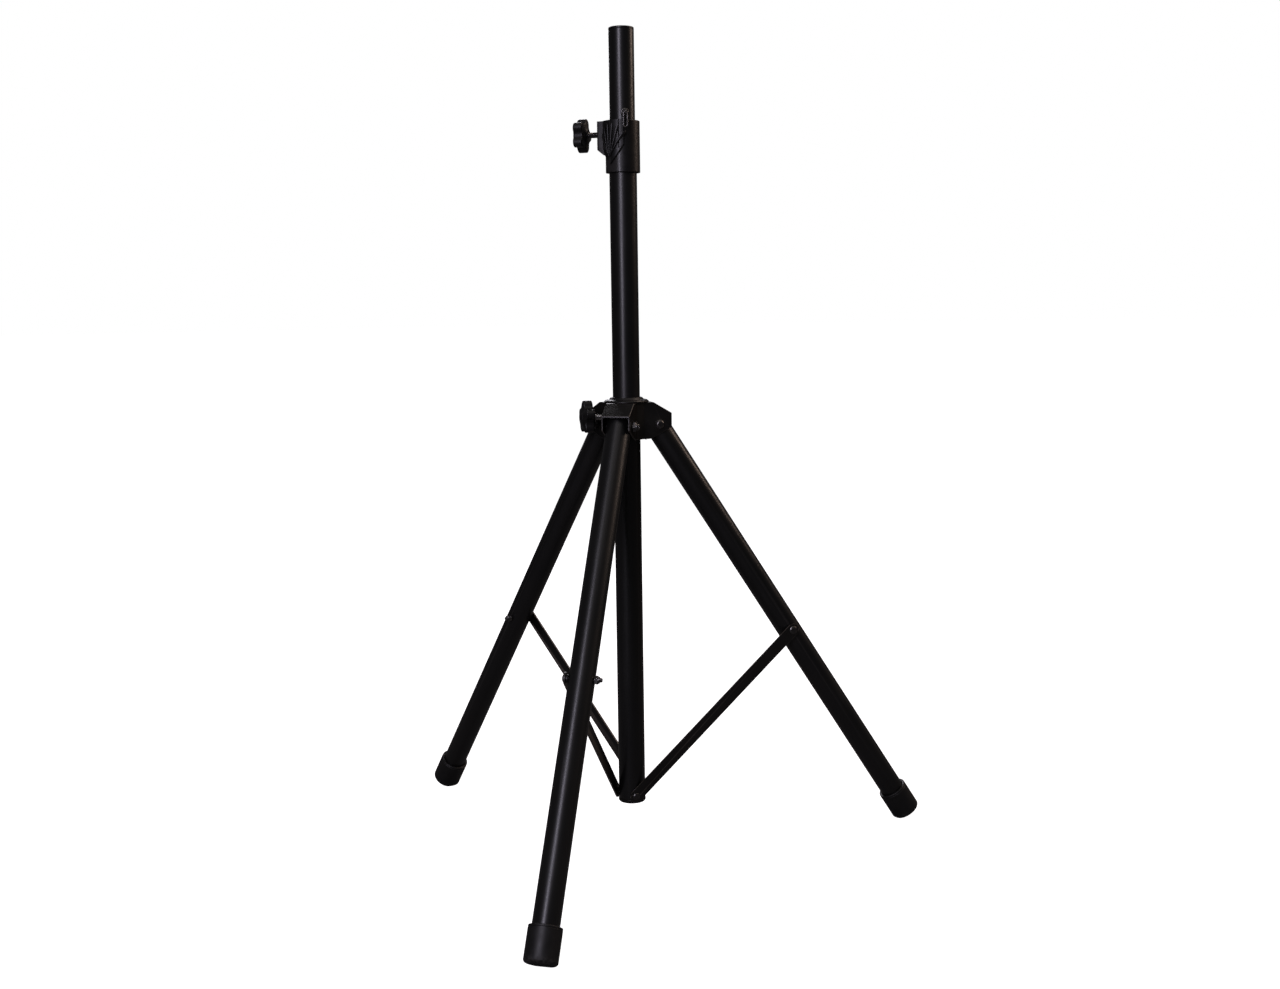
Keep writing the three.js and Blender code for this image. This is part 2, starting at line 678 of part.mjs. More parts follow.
// Plastic sleeve that runs on the mast, with a stepped collar showing above the bracket.
function makeSleeve() {
  const seat = HUB_TOP + GAP;
  const step = seat + SLEEVE_FLANGE_HEIGHT;
  const top = step + SLEEVE_NECK_HEIGHT;
  const corners = [
    [sleeveRadius, SLEEVE_LOW],
    [sleeveRadius, seat],
    [SLEEVE_FLANGE_RADIUS, seat],
    [SLEEVE_FLANGE_RADIUS, seat + 1.2],
    [SLEEVE_FLANGE_RADIUS - 2.6, step],
    [SLEEVE_NECK_RADIUS + 1.4, step + 0.5],
    [SLEEVE_NECK_RADIUS, step + 1.6],
    [SLEEVE_NECK_RADIUS - 1.4, top],
    [sleeveBore, top],
    [sleeveBore, SLEEVE_LOW],
  ];
  const body = revolve([...corners, corners[0]]);
  const window = alongX(rod(PAD_RADIUS + 0.4, sleeveBore - 2, sleeveRadius + 2));
  return piece(
    "hub_sleeve",
    cut(body, turn(window.translate(0, 0, HUB_STUD_RISE), HUB_KNOB_AZIMUTH)),
    blackPlastic,
  );
}

function makeHubNut() {
  const near = HUB_WEB + GAP;
  const thread = rod(STUD_RADIUS + GAP, near - 1, near + NUT_HEIGHT + 1);
  const body = alongX(cut(hexagon(NUT_FLATS, near, near + NUT_HEIGHT), thread));
  return piece("hub_nut", turn(body.translate(0, 0, HUB_STUD_RISE), HUB_KNOB_AZIMUTH), satinSteel);
}

// ---------------------------------------------------------------- one leg with its brace
// In a leg's own plane +X points away from the mast, and the brace lies on the -Y side.
function makePivotBolt(suffix) {
  const seat = HUB_HALF_WIDTH + GAP;
  const end = -(seat + NUT_HEIGHT + 2.5);
  const body = domeHeaded(6.8, 4.2, PIVOT_BOLT_RADIUS, seat, end);
  return piece(`leg_pivot_bolt_${suffix}`, alongMinusY(body).translate(PIVOT_RADIUS, 0, 0), blackFastener);
}

function makePivotNut(suffix) {
  const near = HUB_HALF_WIDTH + GAP;
  const body = cut(
    hexagon(NUT_FLATS, near, near + NUT_HEIGHT),
    rod(PIVOT_BOLT_RADIUS + GAP, near - 1, near + NUT_HEIGHT + 1),
  );
  return piece(`leg_pivot_nut_${suffix}`, alongY(body).translate(PIVOT_RADIUS, 0, 0), blackFastener);
}

// The tube hangs from its pivot along -Z; its upper end is rounded so that it clears the roof.
function makeLegTube(suffix) {
  const end = FOOT_SOLE + GAP - LEG_LENGTH;
  const body = tube(LEG_RADIUS, LEG_RADIUS - LEG_WALL, end, LEG_TIP_RADIUS);
  const side = new THREE.Shape();
  side.moveTo(-LEG_TIP_RADIUS, end - 1);
  side.lineTo(LEG_TIP_RADIUS, end - 1);
  side.absarc(0, 0, LEG_TIP_RADIUS, 0, Math.PI);
  const reach = LEG_RADIUS + 2;
  const pivotHole = alongY(rod(PIVOT_BOLT_RADIUS + GAP, -reach, reach));
  const braceHole = alongY(rod(BRACE_BOLT_RADIUS + GAP, -reach, reach)).translate(0, 0, -BRACE_ON_LEG);
  const rounded = common(body, plate(side, 2 * reach));
  return piece(`leg_tube_${suffix}`, cut(rounded, pivotHole, braceHole), powderCoat);
}

// Rubber cup over the end of the tube, worn flat where the open leg stands on the floor.
function makeFoot(suffix) {
  const sole = -LEG_LENGTH;
  const cuff = sole + FOOT_LENGTH;
  const bore = LEG_RADIUS + GAP;
  const profile = [[0, sole]];
  for (let i = 0; i <= 3; i += 1) {
    const angle = (i / 3) * (Math.PI / 2);
    profile.push([
      FOOT_RADIUS - FOOT_EDGE * (1 - Math.sin(angle)),
      sole + FOOT_EDGE * (1 - Math.cos(angle)),
    ]);
  }
  profile.push(
    [FOOT_RADIUS, cuff - 1.2],
    [FOOT_RADIUS - 1.2, cuff],
    [bore, cuff],
    [bore, sole + FOOT_SOLE],
    [0, sole + FOOT_SOLE],
  );
  const reach = 2 * FOOT_RADIUS;
  const floor = block([-LEG_LENGTH, -reach, -reach], [LEG_LENGTH, reach, 0])
    .translate(-PIVOT_RADIUS, 0, -pivotZ)
    .rotateY(lean);
  return piece(`foot_${suffix}`, cut(revolve(profile), floor), blackRubber);
}

function makeBraceBolt(suffix) {
  const nutFar = LEG_RADIUS + GAP + BRACE_NUT_HEIGHT;
  const body = revolve(
    [
      [0, -BRACE_OFFSET + GAP],
      [BRACE_BOLT_RADIUS, -BRACE_OFFSET + GAP],
      [BRACE_BOLT_RADIUS, nutFar + 2.6],
      [BRACE_BOLT_RADIUS - 0.8, nutFar + 3.4],
      [0, nutFar + 3.4],
    ],
    SMALL_ROUND,
  );
  return piece(`brace_bolt_${suffix}`, alongY(body).translate(0, 0, -BRACE_ON_LEG), blackFastener);
}

function makeBraceNut(suffix) {
  const near = LEG_RADIUS + GAP;
  const body = cut(
    hexagon(BRACE_NUT_FLATS, near, near + BRACE_NUT_HEIGHT),
    rod(BRACE_BOLT_RADIUS + GAP, near - 1, near + BRACE_NUT_HEIGHT + 1),
  );
  return piece(`brace_nut_${suffix}`, alongY(body).translate(0, 0, -BRACE_ON_LEG), blackFastener);
}

function makeBraceSpacer(suffix) {
  const body = tube(5.5, BRACE_BOLT_RADIUS + GAP, GAP - BRACE_OFFSET, -LEG_RADIUS - GAP, SMALL_ROUND);
  return piece(`brace_spacer_${suffix}`, alongY(body).translate(0, 0, -BRACE_ON_LEG), blackPlastic);
}

function makeLeg(suffix) {
  const leg = new THREE.Group();
  leg.position.set(PIVOT_RADIUS, 0, pivotZ);
  leg.rotation.y = -lean;
  leg.add(
    makeLegTube(suffix),
    makeFoot(suffix),
    makeBraceBolt(suffix),
    makeBraceNut(suffix),
    makeBraceSpacer(suffix),
  );
  return leg;
}

// Flat strip with round ends, lying along +X from the rivet to the bolt on the leg.
function makeBrace(suffix) {
  const half = BRACE_WIDTH / 2;
  const shape = new THREE.Shape();
  shape.absarc(0, 0, half, Math.PI / 2, (3 * Math.PI) / 2);
  shape.absarc(BRACE_LENGTH, 0, half, -Math.PI / 2, Math.PI / 2);
  const strip = plate(shape, BRACE_THICKNESS, -braceMiddle);
  const hole = () => alongY(rod(BRACE_BOLT_RADIUS + GAP, -braceFar - 1, 1 - BRACE_OFFSET));
  return piece(`brace_${suffix}`, cut(strip, hole(), hole().translate(BRACE_LENGTH, 0, 0)), satinSteel);
}

// Head of the bolt on the leg. It turns with the brace, and a short neck fills the hole.
function makeBraceHead(suffix) {
  const body = domeHeaded(6.2, 2.6, BRACE_BOLT_RADIUS, braceFar + GAP, BRACE_OFFSET + GAP);
  return piece(`brace_head_${suffix}`, alongMinusY(body).translate(BRACE_LENGTH, 0, 0), blackFastener);
}

function makeBraceAssembly(suffix) {
  const brace = new THREE.Group();
  brace.position.z = rivetZ;
  brace.rotation.y = -braceAngle;
  brace.add(makeBrace(suffix), makeBraceHead(suffix));
  return brace;
}

function makeMastRivet(suffix) {
  const body = domeHeaded(5.4, 2.2, BRACE_BOLT_RADIUS, braceFar + GAP, mastBore - GAP - PLUG_WALL - 1);
  return piece(`mast_rivet_${suffix}`, alongMinusY(body).translate(0, 0, rivetZ), blackFastener);
}

function makeMastWasher(suffix) {
  const body = tube(5.5, BRACE_BOLT_RADIUS + GAP, GAP - BRACE_OFFSET, -MAST_RADIUS - GAP, SMALL_ROUND);
  return piece(`mast_washer_${suffix}`, alongY(body).translate(0, 0, rivetZ), blackFastener);
}

// ---------------------------------------------------------------- whole stand
function makeHub() {
  const hub = new THREE.Group();
  hub.position.z = pivotZ;
  hub.add(makeBracket(), makeSleeve(), makeHubNut());
  return hub;
}

function makeStand() {
  const stand = new THREE.Group();
  stand.add(
    makeMast(),
    makeMastPlug(),
    makeCollar(),
    makeCollarNut(),
    makePole(),
    makePoleCap(),
    makePoleGuide(),
    makePin(),
    makeHub(),
    makeClamp("collar", {
      azimuth: COLLAR_KNOB_AZIMUTH,
      height: collarStudZ,
      padNear: collarPadNear,
      knobMiddle: BOSS_REACH + KNOB_STANDOFF,
      lobeTurn: COLLAR_LOBE_TURN,
      finish: blackFastener,
    }),
    makeClamp("hub", {
      azimuth: HUB_KNOB_AZIMUTH,
      height: pivotZ + HUB_STUD_RISE,
      padNear: hubPadNear,
      knobMiddle: HUB_KNOB_REACH,
      lobeTurn: HUB_LOBE_TURN,
      finish: brightZinc,
    }),
  );
  legAzimuths.forEach((azimuth, i) => {
    const suffix = LEG_NAMES[i];
    const side = new THREE.Group();
    side.rotation.z = rad(azimuth - 90);
    const joint = new THREE.Group();
    joint.position.z = pivotZ;
    joint.add(makePivotBolt(suffix), makePivotNut(suffix));
    side.add(joint, makeLeg(suffix), makeBraceAssembly(suffix));
    side.add(makeMastRivet(suffix), makeMastWasher(suffix));
    stand.add(side);
  });
  return stand;
}

// Moves the stand so that the middle of its floor outline is the origin.
function centred(stand) {
  const box = new THREE.Box3().setFromObject(stand, true);
  const middle = box.getCenter(new THREE.Vector3());
  stand.position.set(-middle.x, -middle.y, -box.min.z);
  const part = new THREE.Group();
  part.add(stand);
  return part;
}

export default centred(makeStand());
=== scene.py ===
"""Tripod stand for a loudspeaker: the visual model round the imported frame.

Shapes are written in millimetres, each in the frame of the body that it belongs to:
X points away from the mast, or along a clamp, and Z runs up the piece.
"""

import json
import math

import bmesh
import bpy
from mathutils import Matrix, Vector


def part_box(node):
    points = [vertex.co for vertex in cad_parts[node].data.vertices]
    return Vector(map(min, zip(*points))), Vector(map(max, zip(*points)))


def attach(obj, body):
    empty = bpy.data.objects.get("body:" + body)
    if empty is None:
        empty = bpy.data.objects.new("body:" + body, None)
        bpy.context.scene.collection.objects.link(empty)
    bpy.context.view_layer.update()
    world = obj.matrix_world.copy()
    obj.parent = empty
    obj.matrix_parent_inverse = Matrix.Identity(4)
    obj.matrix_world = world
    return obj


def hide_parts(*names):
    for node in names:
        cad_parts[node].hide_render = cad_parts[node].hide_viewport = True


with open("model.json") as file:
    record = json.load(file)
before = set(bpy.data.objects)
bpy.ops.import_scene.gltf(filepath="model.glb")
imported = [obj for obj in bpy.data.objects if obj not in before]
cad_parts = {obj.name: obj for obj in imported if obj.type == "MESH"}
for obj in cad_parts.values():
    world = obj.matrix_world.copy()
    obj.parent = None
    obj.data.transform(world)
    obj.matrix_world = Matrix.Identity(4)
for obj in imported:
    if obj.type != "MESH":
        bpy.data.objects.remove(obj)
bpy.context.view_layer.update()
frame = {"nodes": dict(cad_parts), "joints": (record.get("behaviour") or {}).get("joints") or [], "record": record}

MM = 0.001
TURN = 2 * math.pi

# ------------------------------------------------------------------ sizes, in millimetres
LEGS = ("front", "right", "left")
LEG_LEAN = math.radians(32.8)
LEG_LENGTH = 724
LEG_RADIUS = 17.4
LEG_WALL = 1.3
LEG_TIP_RADIUS = 20
BRACE_ON_LEG = 367

FOOT_RADIUS = 21.5
FOOT_LENGTH = 45
FOOT_EDGE = 8
FOOT_SOLE = 10
TREAD_RADII = (7, 10.5)

MAST_RADIUS = 19.05
MAST_WALL = 1.2
POLE_RADIUS = 17.5
POLE_WALL = 1.5
PIN_HOLE_STEP = 100
PIN_HOLE_COUNT = 7
PIN_RADIUS = 3.9
BAIL_WIRE = 0.95
BAIL_BEND = 0.9
BAIL_HALF_WIDTH = 2.6
BAIL_DROP = 20
PIN_HEAD_RADIUS = 5.2
PIN_NECK_RADIUS = 4.5

COLLAR_RADIUS = 23.75
BOSS_REACH = 33.8
BOSS_WIDTH = 24
BOSS_HEIGHT = 38
BOSS_CHAMFER = 8
BOSS_CORNER = 3
KNOB_STANDOFF = 25.6
NUT_IN_BOSS = 8
BUSH_RADIUS = 7.2
SHIELD_AZIMUTH = math.radians(-41)
SHIELD_RADIUS = 27.5
SHIELD_HALF_WIDTH = 24
SHIELD_HEIGHT = 59
SHIELD_SIDE = 16
RIB_COUNT = 6

HUB_SHEET = 2
HUB_HALF_WIDTH = 20.2
HUB_REACH = 60.5
HUB_TOP = 31.5
ROOF_START = 34
ROOF_DROP = 15.8
CHEEK_END_DROP = 4.5
CHEEK_LOW_REACH = 30
HUB_SKIRT = 20.2
HUB_WEB = 27.5
PIVOT_RADIUS = 42.5
SLEEVE_WALL = 1.3
SLEEVE_LOW = -18
SLEEVE_FLANGE_RADIUS = 31.5
SLEEVE_FLANGE_HEIGHT = 3.2
SLEEVE_NECK_RADIUS = 23.4
SLEEVE_NECK_HEIGHT = 3.4

KNOB_RADIUS = 23.8
KNOB_LOBES = 5
LOBE_RADIUS = 6.9
SCALLOP_RADIUS = 8
KNOB_RIM = 13.5
KNOB_HUB = 10
HUB_KNOB_REACH = 57
NUT_FLATS = 13
NUT_HEIGHT = 6.5
STUD_RADIUS = 4
STUD_IN_KNOB = 4
STUD_PITCH = 1.25
COLLAR_LOBE_TURN = math.radians(180)
HUB_LOBE_TURN = math.radians(90)

BRACE_LENGTH = 331.5
BRACE_WIDTH = 17.5
BRACE_THICKNESS = 2.4
BRACE_OFFSET = 20.6
BOLT_RADIUS = 3
BRACE_NUT_FLATS = 10
WASHER_RADIUS = 5.5
PIVOT_BOLT_RADIUS = 4
GAP = 0.3


# ------------------------------------------------------------------ places, from the frame
def span(node):
    """The lowest and highest point of a CAD node, in millimetres."""
    low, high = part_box(node)
    return low.z / MM, high.z / MM


def axes(origin, outward):
    """A frame at origin whose X points along outward and whose Z is up."""
    x = Vector(outward).normalized()
    z = Vector((0, 0, 1))
    matrix = Matrix((x, z.cross(x), z)).transposed().to_4x4()
    matrix.translation = origin
    return matrix


JOINTS = {joint["name"]: joint for joint in frame["joints"]}
MOUNTS = {mount["name"]: mount for mount in frame["record"]["mounts"]}
mast_x, mast_y, _ = MOUNTS["pole_top"]["pos_m"]


def on_mast(height_m, outward=(1, 0, 0)):
    return axes(Vector((mast_x, mast_y, height_m)), outward)


def leg_outward(leg):
    """The level direction in which a leg points away from the mast."""
    return Vector(JOINTS[f"leg_fold_{leg}"]["axis"]).cross(Vector((0, 0, 1)))


def pivot_frame(leg):
    return axes(Vector(JOINTS[f"leg_fold_{leg}"]["pos_m"]), leg_outward(leg))


def leg_frame(leg):
    return pivot_frame(leg) @ Matrix.Rotation(-LEG_LEAN, 4, "Y")


def brace_frame(leg):
    """The frame of a brace: X runs from its rivet on the mast to its bolt on the leg."""
    rivet = Vector(JOINTS[f"brace_fold_{leg}"]["pos_m"])
    bolt = leg_frame(leg) @ Vector((0, 0, -BRACE_ON_LEG * MM))
    x = (bolt - rivet).normalized()
    y = Vector(JOINTS[f"leg_fold_{leg}"]["axis"])
    matrix = Matrix((x, y, x.cross(y))).transposed().to_4x4()
    matrix.translation = rivet
    return matrix


# ------------------------------------------------------------------ mesh tools
def solid(build):
    """A scene object, in metres, from a bmesh that is in millimetres."""
    mesh = bpy.data.meshes.new("solid")
    bmesh.ops.remove_doubles(build, verts=build.verts, dist=1e-4)
    bmesh.ops.recalc_face_normals(build, faces=build.faces)
    build.to_mesh(mesh)
    build.free()
    mesh.transform(Matrix.Scale(MM, 4))
    body = bpy.data.objects.new("solid", mesh)
    bpy.context.scene.collection.objects.link(body)
    return body


def skin(rings, closed=False):
    """A surface through rings of points; its ends are capped, or joined when it is closed."""
    build = bmesh.new()
    rows = [[build.verts.new(point) for point in ring] for ring in rings]
    pairs = list(zip(rows, rows[1:]))
    if closed:
        pairs.append((rows[-1], rows[0]))
    count = len(rows[0])
    for near, far in pairs:
        for i in range(count):
            j = (i + 1) % count
            build.faces.new((near[i], near[j], far[j], far[i]))
    if not closed:
        build.faces.new(rows[0])
        build.faces.new(rows[-1])
    return build


def rounded(points, steps=4):
    """An outline from (x, y, fillet) corners, each corner replaced by an arc of its fillet."""
    line = []
    for i, (x, y, fillet) in enumerate(points):
        corner = Vector((x, y))
        before = Vector(points[i - 1][:2]) - corner
        after = Vector(points[(i + 1) % len(points)][:2]) - corner
        if fillet == 0:
            line.append((x, y))
            continue
        half = before.angle(after) / 2
        reach = min(fillet / math.tan(half), 0.48 * before.length, 0.48 * after.length)
        radius = reach * math.tan(half)
        middle = corner + (before.normalized() + after.normalized()).normalized() * radius / math.sin(half)
        start = corner + before.normalized() * reach - middle
        end = corner + after.normalized() * reach - middle
        sweep = start.angle_signed(end)
        for k in range(steps + 1):
            arm = start.copy()
            arm.rotate(Matrix.Rotation(-sweep * k / steps, 2))
            line.append(tuple(middle + arm))
    return line


def lathe(profile, facets=96, steps=4):
    """A solid of revolution about Z from a closed (radius, z, fillet) profile."""
    line = rounded(profile, steps)
    rings = []
    for r, z in line:
        r = max(r, 0)
        rings.append(
            [(r * math.cos(TURN * k / facets), r * math.sin(TURN * k / facets), z) for k in range(facets)]
        )
    build = skin(rings, closed=True)
    bmesh.ops.remove_doubles(build, verts=build.verts, dist=1e-4)
    flat = [face for face in build.faces if face.calc_area() < 1e-7]
    bmesh.ops.delete(build, geom=flat, context="FACES")
    bmesh.ops.delete(build, geom=[edge for edge in build.edges if edge.is_wire], context="EDGES")
    return solid(build)


def pipe(outer, inner, low, high, fillet=0.3, facets=96, levels=()):
    """A tube about Z; levels are the heights of extra rings, which keep a hole's shading near it."""
    corners = [(outer, low, fillet)] + [(outer, z, 0) for z in levels] + [(outer, high, fillet)]
    corners += [(inner, high, fillet)] + [(inner, z, 0) for z in reversed(levels)] + [(inner, low, fillet)]
    return lathe(corners, facets)


def beside(heights, reach=6):
    """The heights just under and just over each hole."""
    return [z + side for z in sorted(heights) for side in (-reach, reach)]


def rod(radius, low, high, facets=48):
    return lathe([(0, low, 0), (radius, low, 0), (radius, high, 0), (0, high, 0)], facets)


def prism(outline, low, high):
    """An outline in X-Y, raised along Z from low to high."""
    rings = [[(x, y, z) for x, y in outline] for z in (low, high)]
    return solid(skin(rings))


def moved(body, *turns):
    """The solid with its mesh carried through each matrix in turn; sizes are in metres."""
    for matrix in turns:
        body.data.transform(matrix)
    return body


def shift(x=0, y=0, z=0):
    return Matrix.Translation((x * MM, y * MM, z * MM))


ALONG_X = Matrix.Rotation(math.pi / 2, 4, "Y")
ALONG_Y = Matrix.Rotation(-math.pi / 2, 4, "X")
ALONG_MINUS_Y = Matrix.Rotation(math.pi / 2, 4, "X")
STANDING = Matrix.Rotation(math.pi / 2, 4, "X")


def plate(outline, width, middle=0):
    """An outline in X-Z, given a width along Y."""
    return moved(prism(outline, -width / 2, width / 2), STANDING, shift(y=middle))


def bake(body):
    """Applies the modifiers of a solid to its mesh."""
    bpy.context.view_layer.update()
    ready = body.evaluated_get(bpy.context.evaluated_depsgraph_get())
    mesh = bpy.data.meshes.new_from_object(ready)
    body.modifiers.clear()
    body.data = mesh
    return body


def combine(operation, body, *tools):
    for tool in tools:
        change = body.modifiers.new(operation, "BOOLEAN")
        change.operation = operation
        change.solver = "MANIFOLD"
        change.object = tool
        bake(body)
        bpy.data.objects.remove(tool)
    return body


def cut(body, *tools):
    return combine("DIFFERENCE", body, *tools)


def join(body, *others):
    return combine("UNION", body, *others)


def common(body, *others):
    return combine("INTERSECT", body, *others)


def soften(body, width, angle=30, segments=3):
    """Rounds the edges of a solid that are sharper than an angle."""
    build = bmesh.new()
    build.from_mesh(body.data)
    bmesh.ops.dissolve_limit(build, angle_limit=math.radians(0.4), verts=build.verts, edges=build.edges)
    build.to_mesh(body.data)
    build.free()
    edge = body.modifiers.new("edge", "BEVEL")
    edge.width = width * MM
    edge.segments = segments
    edge.limit_method = "ANGLE"
    edge.angle_limit = math.radians(angle)
    edge.use_clamp_overlap = True
    return bake(body)


def frame_panels(body, width=0.3, least=120):
    """Gives each broad face a narrow border, so that its middle is shaded and worn as a flat and gets no painted
    edge highlight.
    """
    build = bmesh.new()
    build.from_mesh(body.data)
    broad = [face for face in build.faces if face.calc_area() > least * MM * MM]
    bmesh.ops.inset_individual(build, faces=broad, thickness=width * MM)
    build.to_mesh(body.data)
    build.free()
    return body


def show(body, name, place, rides, slot, *nodes):
    """Puts a finished solid in place as a piece of the object."""
    body.name = name
    body.data.name = name
    for face in body.data.polygons:
        face.use_smooth = True
    body.data.set_sharp_from_angle(angle=math.radians(38))
    even = body.modifiers.new("even", "WEIGHTED_NORMAL")
    even.keep_sharp = True
    body.data.materials.clear()
    body.data.materials.append(MATERIALS[slot])
    body.matrix_world = place
    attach(body, rides)
    if nodes:
        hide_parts(*nodes)
    return body


# ------------------------------------------------------------------ materials
class Surface:
    """A material while it is put together: its nodes, and the shader that they feed."""

    def __init__(self, name, **sockets):
        self.material = bpy.data.materials.new(name)
        self.material.use_nodes = True
        self.tree = self.material.node_tree
        self.shader = self.tree.nodes["Principled BSDF"]
        for socket, value in sockets.items():
            self.shader.inputs[socket.replace("_", " ")].default_value = value
        self.place = self.add("ShaderNodeTexCoord").outputs["Object"]

    def add(self, kind, inputs=None, **settings):
        node = self.tree.nodes.new(kind)
        for key, value in settings.items():
            setattr(node, key, value)
        for key, value in (inputs or {}).items():
            if isinstance(value, bpy.types.NodeSocket):
                self.tree.links.new(value, node.inputs[key])
            else:
                node.inputs[key].default_value = value
        return node

    def noise(self, scale, detail=3.0, stretch=(1, 1, 1), rough=0.5):
        place = self.add("ShaderNodeMapping", {"Vector": self.place, "Scale": stretch})
        texture = self.add(
            "ShaderNodeTexNoise",
            {"Vector": place.outputs[0], "Scale": scale, "Detail": detail, "Roughness": rough},
        )
        return texture.outputs["Fac"]

    def cells(self, scale):
        texture = self.add("ShaderNodeTexVoronoi", {"Vector": self.place, "Scale": scale})
        return texture.outputs["Distance"]

    def between(self, value, low, high, start=0.0, end=1.0):
        """The value, with low..high stretched to start..end and clamped there."""
        inputs = {"Value": value, "From Min": low, "From Max": high, "To Min": start, "To Max": end}
        return self.add("ShaderNodeMapRange", inputs).outputs["Result"]

    def maths(self, operation, a, b):
        node = self.add("ShaderNodeMath", operation=operation)
        for socket, value in zip(node.inputs, (a, b)):
            if isinstance(value, bpy.types.NodeSocket):
                self.tree.links.new(value, socket)
            else:
                socket.default_value = value
        return node.outputs[0]

    def mix(self, factor, a, b):
        node = self.add("ShaderNodeMix", data_type="RGBA")
        for socket, value in zip((node.inputs[0], node.inputs[6], node.inputs[7]), (factor, a, b)):
            if isinstance(value, bpy.types.NodeSocket):
                self.tree.links.new(value, socket)
            else:
                socket.default_value = value
        return node.outputs[2]

    def edges(self, low, high):
        """1 on sharp outer edges, where wear goes and, on pressed steel, a painted highlight as well; 0 on flat
        stretches.
        """
        pointy = self.add("ShaderNodeNewGeometry").outputs["Pointiness"]
        return self.between(pointy, low, high)

    def bump(self, height, distance, strength=1.0, under=None):
        inputs = {"Height": height, "Distance": distance, "Strength": strength}
        if under is not None:
            inputs["Normal"] = under
        return self.add("ShaderNodeBump", inputs).outputs["Normal"]

    def feed(self, **sources):
        for socket, source in sources.items():
            self.tree.links.new(source, self.shader.inputs[socket.replace("_", " ")])
        return self.material


def shade(level, warmth=0.0):
    """A grey, warmer or cooler than neutral."""
    return (level * (1 + warmth), level, level * (1 - warmth), 1)


def powder_coat():
    """Baked black powder on tube: orange peel, faint streaks along the tube, rubbed edges."""
    s = Surface("powder_coat", Metallic=0.0, Specular_IOR_Level=0.55)
    patches = s.noise(9, detail=4)
    streaks = s.between(s.noise(1, 5, (420, 420, 5)), 0.56, 0.74)
    scuffs = s.maths("MULTIPLY", streaks, s.between(s.noise(14, 2), 0.48, 0.66))
    tone = s.mix(patches, shade(0.0028, -0.05), shade(0.005, 0.08))
    tone = s.mix(s.maths("MULTIPLY", scuffs, 0.3), tone, shade(0.02, 0.03))
    tone = s.mix(s.maths("MULTIPLY", s.edges(0.53, 0.6), 0.4), tone, shade(0.06, 0.08))
    gloss = s.maths("ADD", s.between(patches, 0.3, 0.7, 0.3, 0.37), s.maths("MULTIPLY", scuffs, 0.14))
    peel = s.bump(s.noise(520, 2), 0.00006, 0.5)
    grain = s.bump(s.noise(2600, 2), 0.00001, 0.5, under=peel)
    return s.feed(Base_Color=tone, Roughness=gloss, Normal=grain)


def pressed_steel():
    """Pressed sheet under satin black paint: soft waviness, and light warm bends that are partly thin paint and
    partly a painted highlight on the folds.
    """
    s = Surface("pressed_steel", Metallic=0.0, Specular_IOR_Level=0.6)
    patches = s.noise(38, detail=4)
    tone = s.mix(patches, shade(0.003, 0.1), shade(0.006, 0.16))
    # painted highlight: the bends are coloured light and warm, partly for thin paint there and partly for the
    # light caught along the folds
    tone = s.mix(s.maths("MULTIPLY", s.edges(0.52, 0.58), 0.5), tone, shade(0.12, 0.18))
    chips = s.maths("MULTIPLY", s.edges(0.53, 0.6), s.between(s.noise(700, 2), 0.62, 0.68))
    tone = s.mix(chips, tone, shade(0.22, 0.05))
    gloss = s.between(patches, 0.3, 0.7, 0.27, 0.36)
    sheet = s.bump(s.noise(70, 2), 0.0004, 0.3)
    grain = s.bump(s.noise(1100, 3), 0.00003, 0.5, under=sheet)
    return s.feed(Base_Color=tone, Roughness=gloss, Normal=grain)


def black_plastic():
    """Moulded black plastic with a fine spark-eroded grain, polished where it is handled."""
    s = Surface("black_plastic", Metallic=0.0, Specular_IOR_Level=0.4)
    patches = s.noise(60, detail=4)
    worn = s.edges(0.52, 0.6)
    tone = s.mix(patches, shade(0.003), shade(0.006, 0.08))
    tone = s.mix(s.maths("MULTIPLY", worn, 0.5), tone, shade(0.04, 0.06))
    gloss = s.maths("SUBTRACT", s.between(patches, 0.3, 0.7, 0.34, 0.44), s.maths("MULTIPLY", worn, 0.1))
    grain = s.bump(s.cells(1500), 0.00004, 0.6)
    fine = s.bump(s.noise(4200, 2), 0.00001, 0.6, under=grain)
    return s.feed(Base_Color=tone, Roughness=gloss, Normal=fine)


def rubber():
    """Moulded rubber: dull, finely pitted, dusty and scuffed towards the sole."""
    s = Surface("rubber", Metallic=0.0, Specular_IOR_Level=0.45)
    patches = s.noise(90, detail=5)
    height = s.add("ShaderNodeSeparateXYZ", {"Vector": s.place}).outputs["Z"]
    low = s.between(height, (FOOT_SOLE - LEG_LENGTH) * MM, -LEG_LENGTH * MM)
    dust = s.maths("MULTIPLY", low, s.between(s.noise(260, 5), 0.42, 0.66))
    tone = s.mix(patches, shade(0.0035), shade(0.007, 0.06))
    tone = s.mix(s.maths("MULTIPLY", dust, 0.5), tone, shade(0.06, 0.1))
    gloss = s.maths("ADD", s.between(patches, 0.3, 0.7, 0.42, 0.54), s.maths("MULTIPLY", dust, 0.3))
    pits = s.bump(s.noise(900, 4), 0.00006, 0.5)
    fine = s.bump(s.cells(2400), 0.00002, 0.4, under=pits)
    return s.feed(Base_Color=tone, Roughness=gloss, Normal=fine)


def black_fastener():
    """Black oxide on steel, rubbed bright at the edges by the tools."""
    s = Surface("black_fastener", Metallic=0.9)
    patches = s.noise(300, detail=4)
    bare = s.maths("MULTIPLY", s.edges(0.51, 0.57), s.between(s.noise(700, 3), 0.4, 0.6, 0.3, 1.0))
    tone = s.mix(patches, shade(0.05, 0.02), shade(0.11, 0.05))
    tone = s.mix(bare, tone, shade(0.35, 0.03))
    gloss = s.between(patches, 0.3, 0.7, 0.2, 0.32)
    grain = s.bump(s.noise(1600, 3), 0.00002, 0.5)
    return s.feed(Base_Color=tone, Roughness=gloss, Normal=grain)


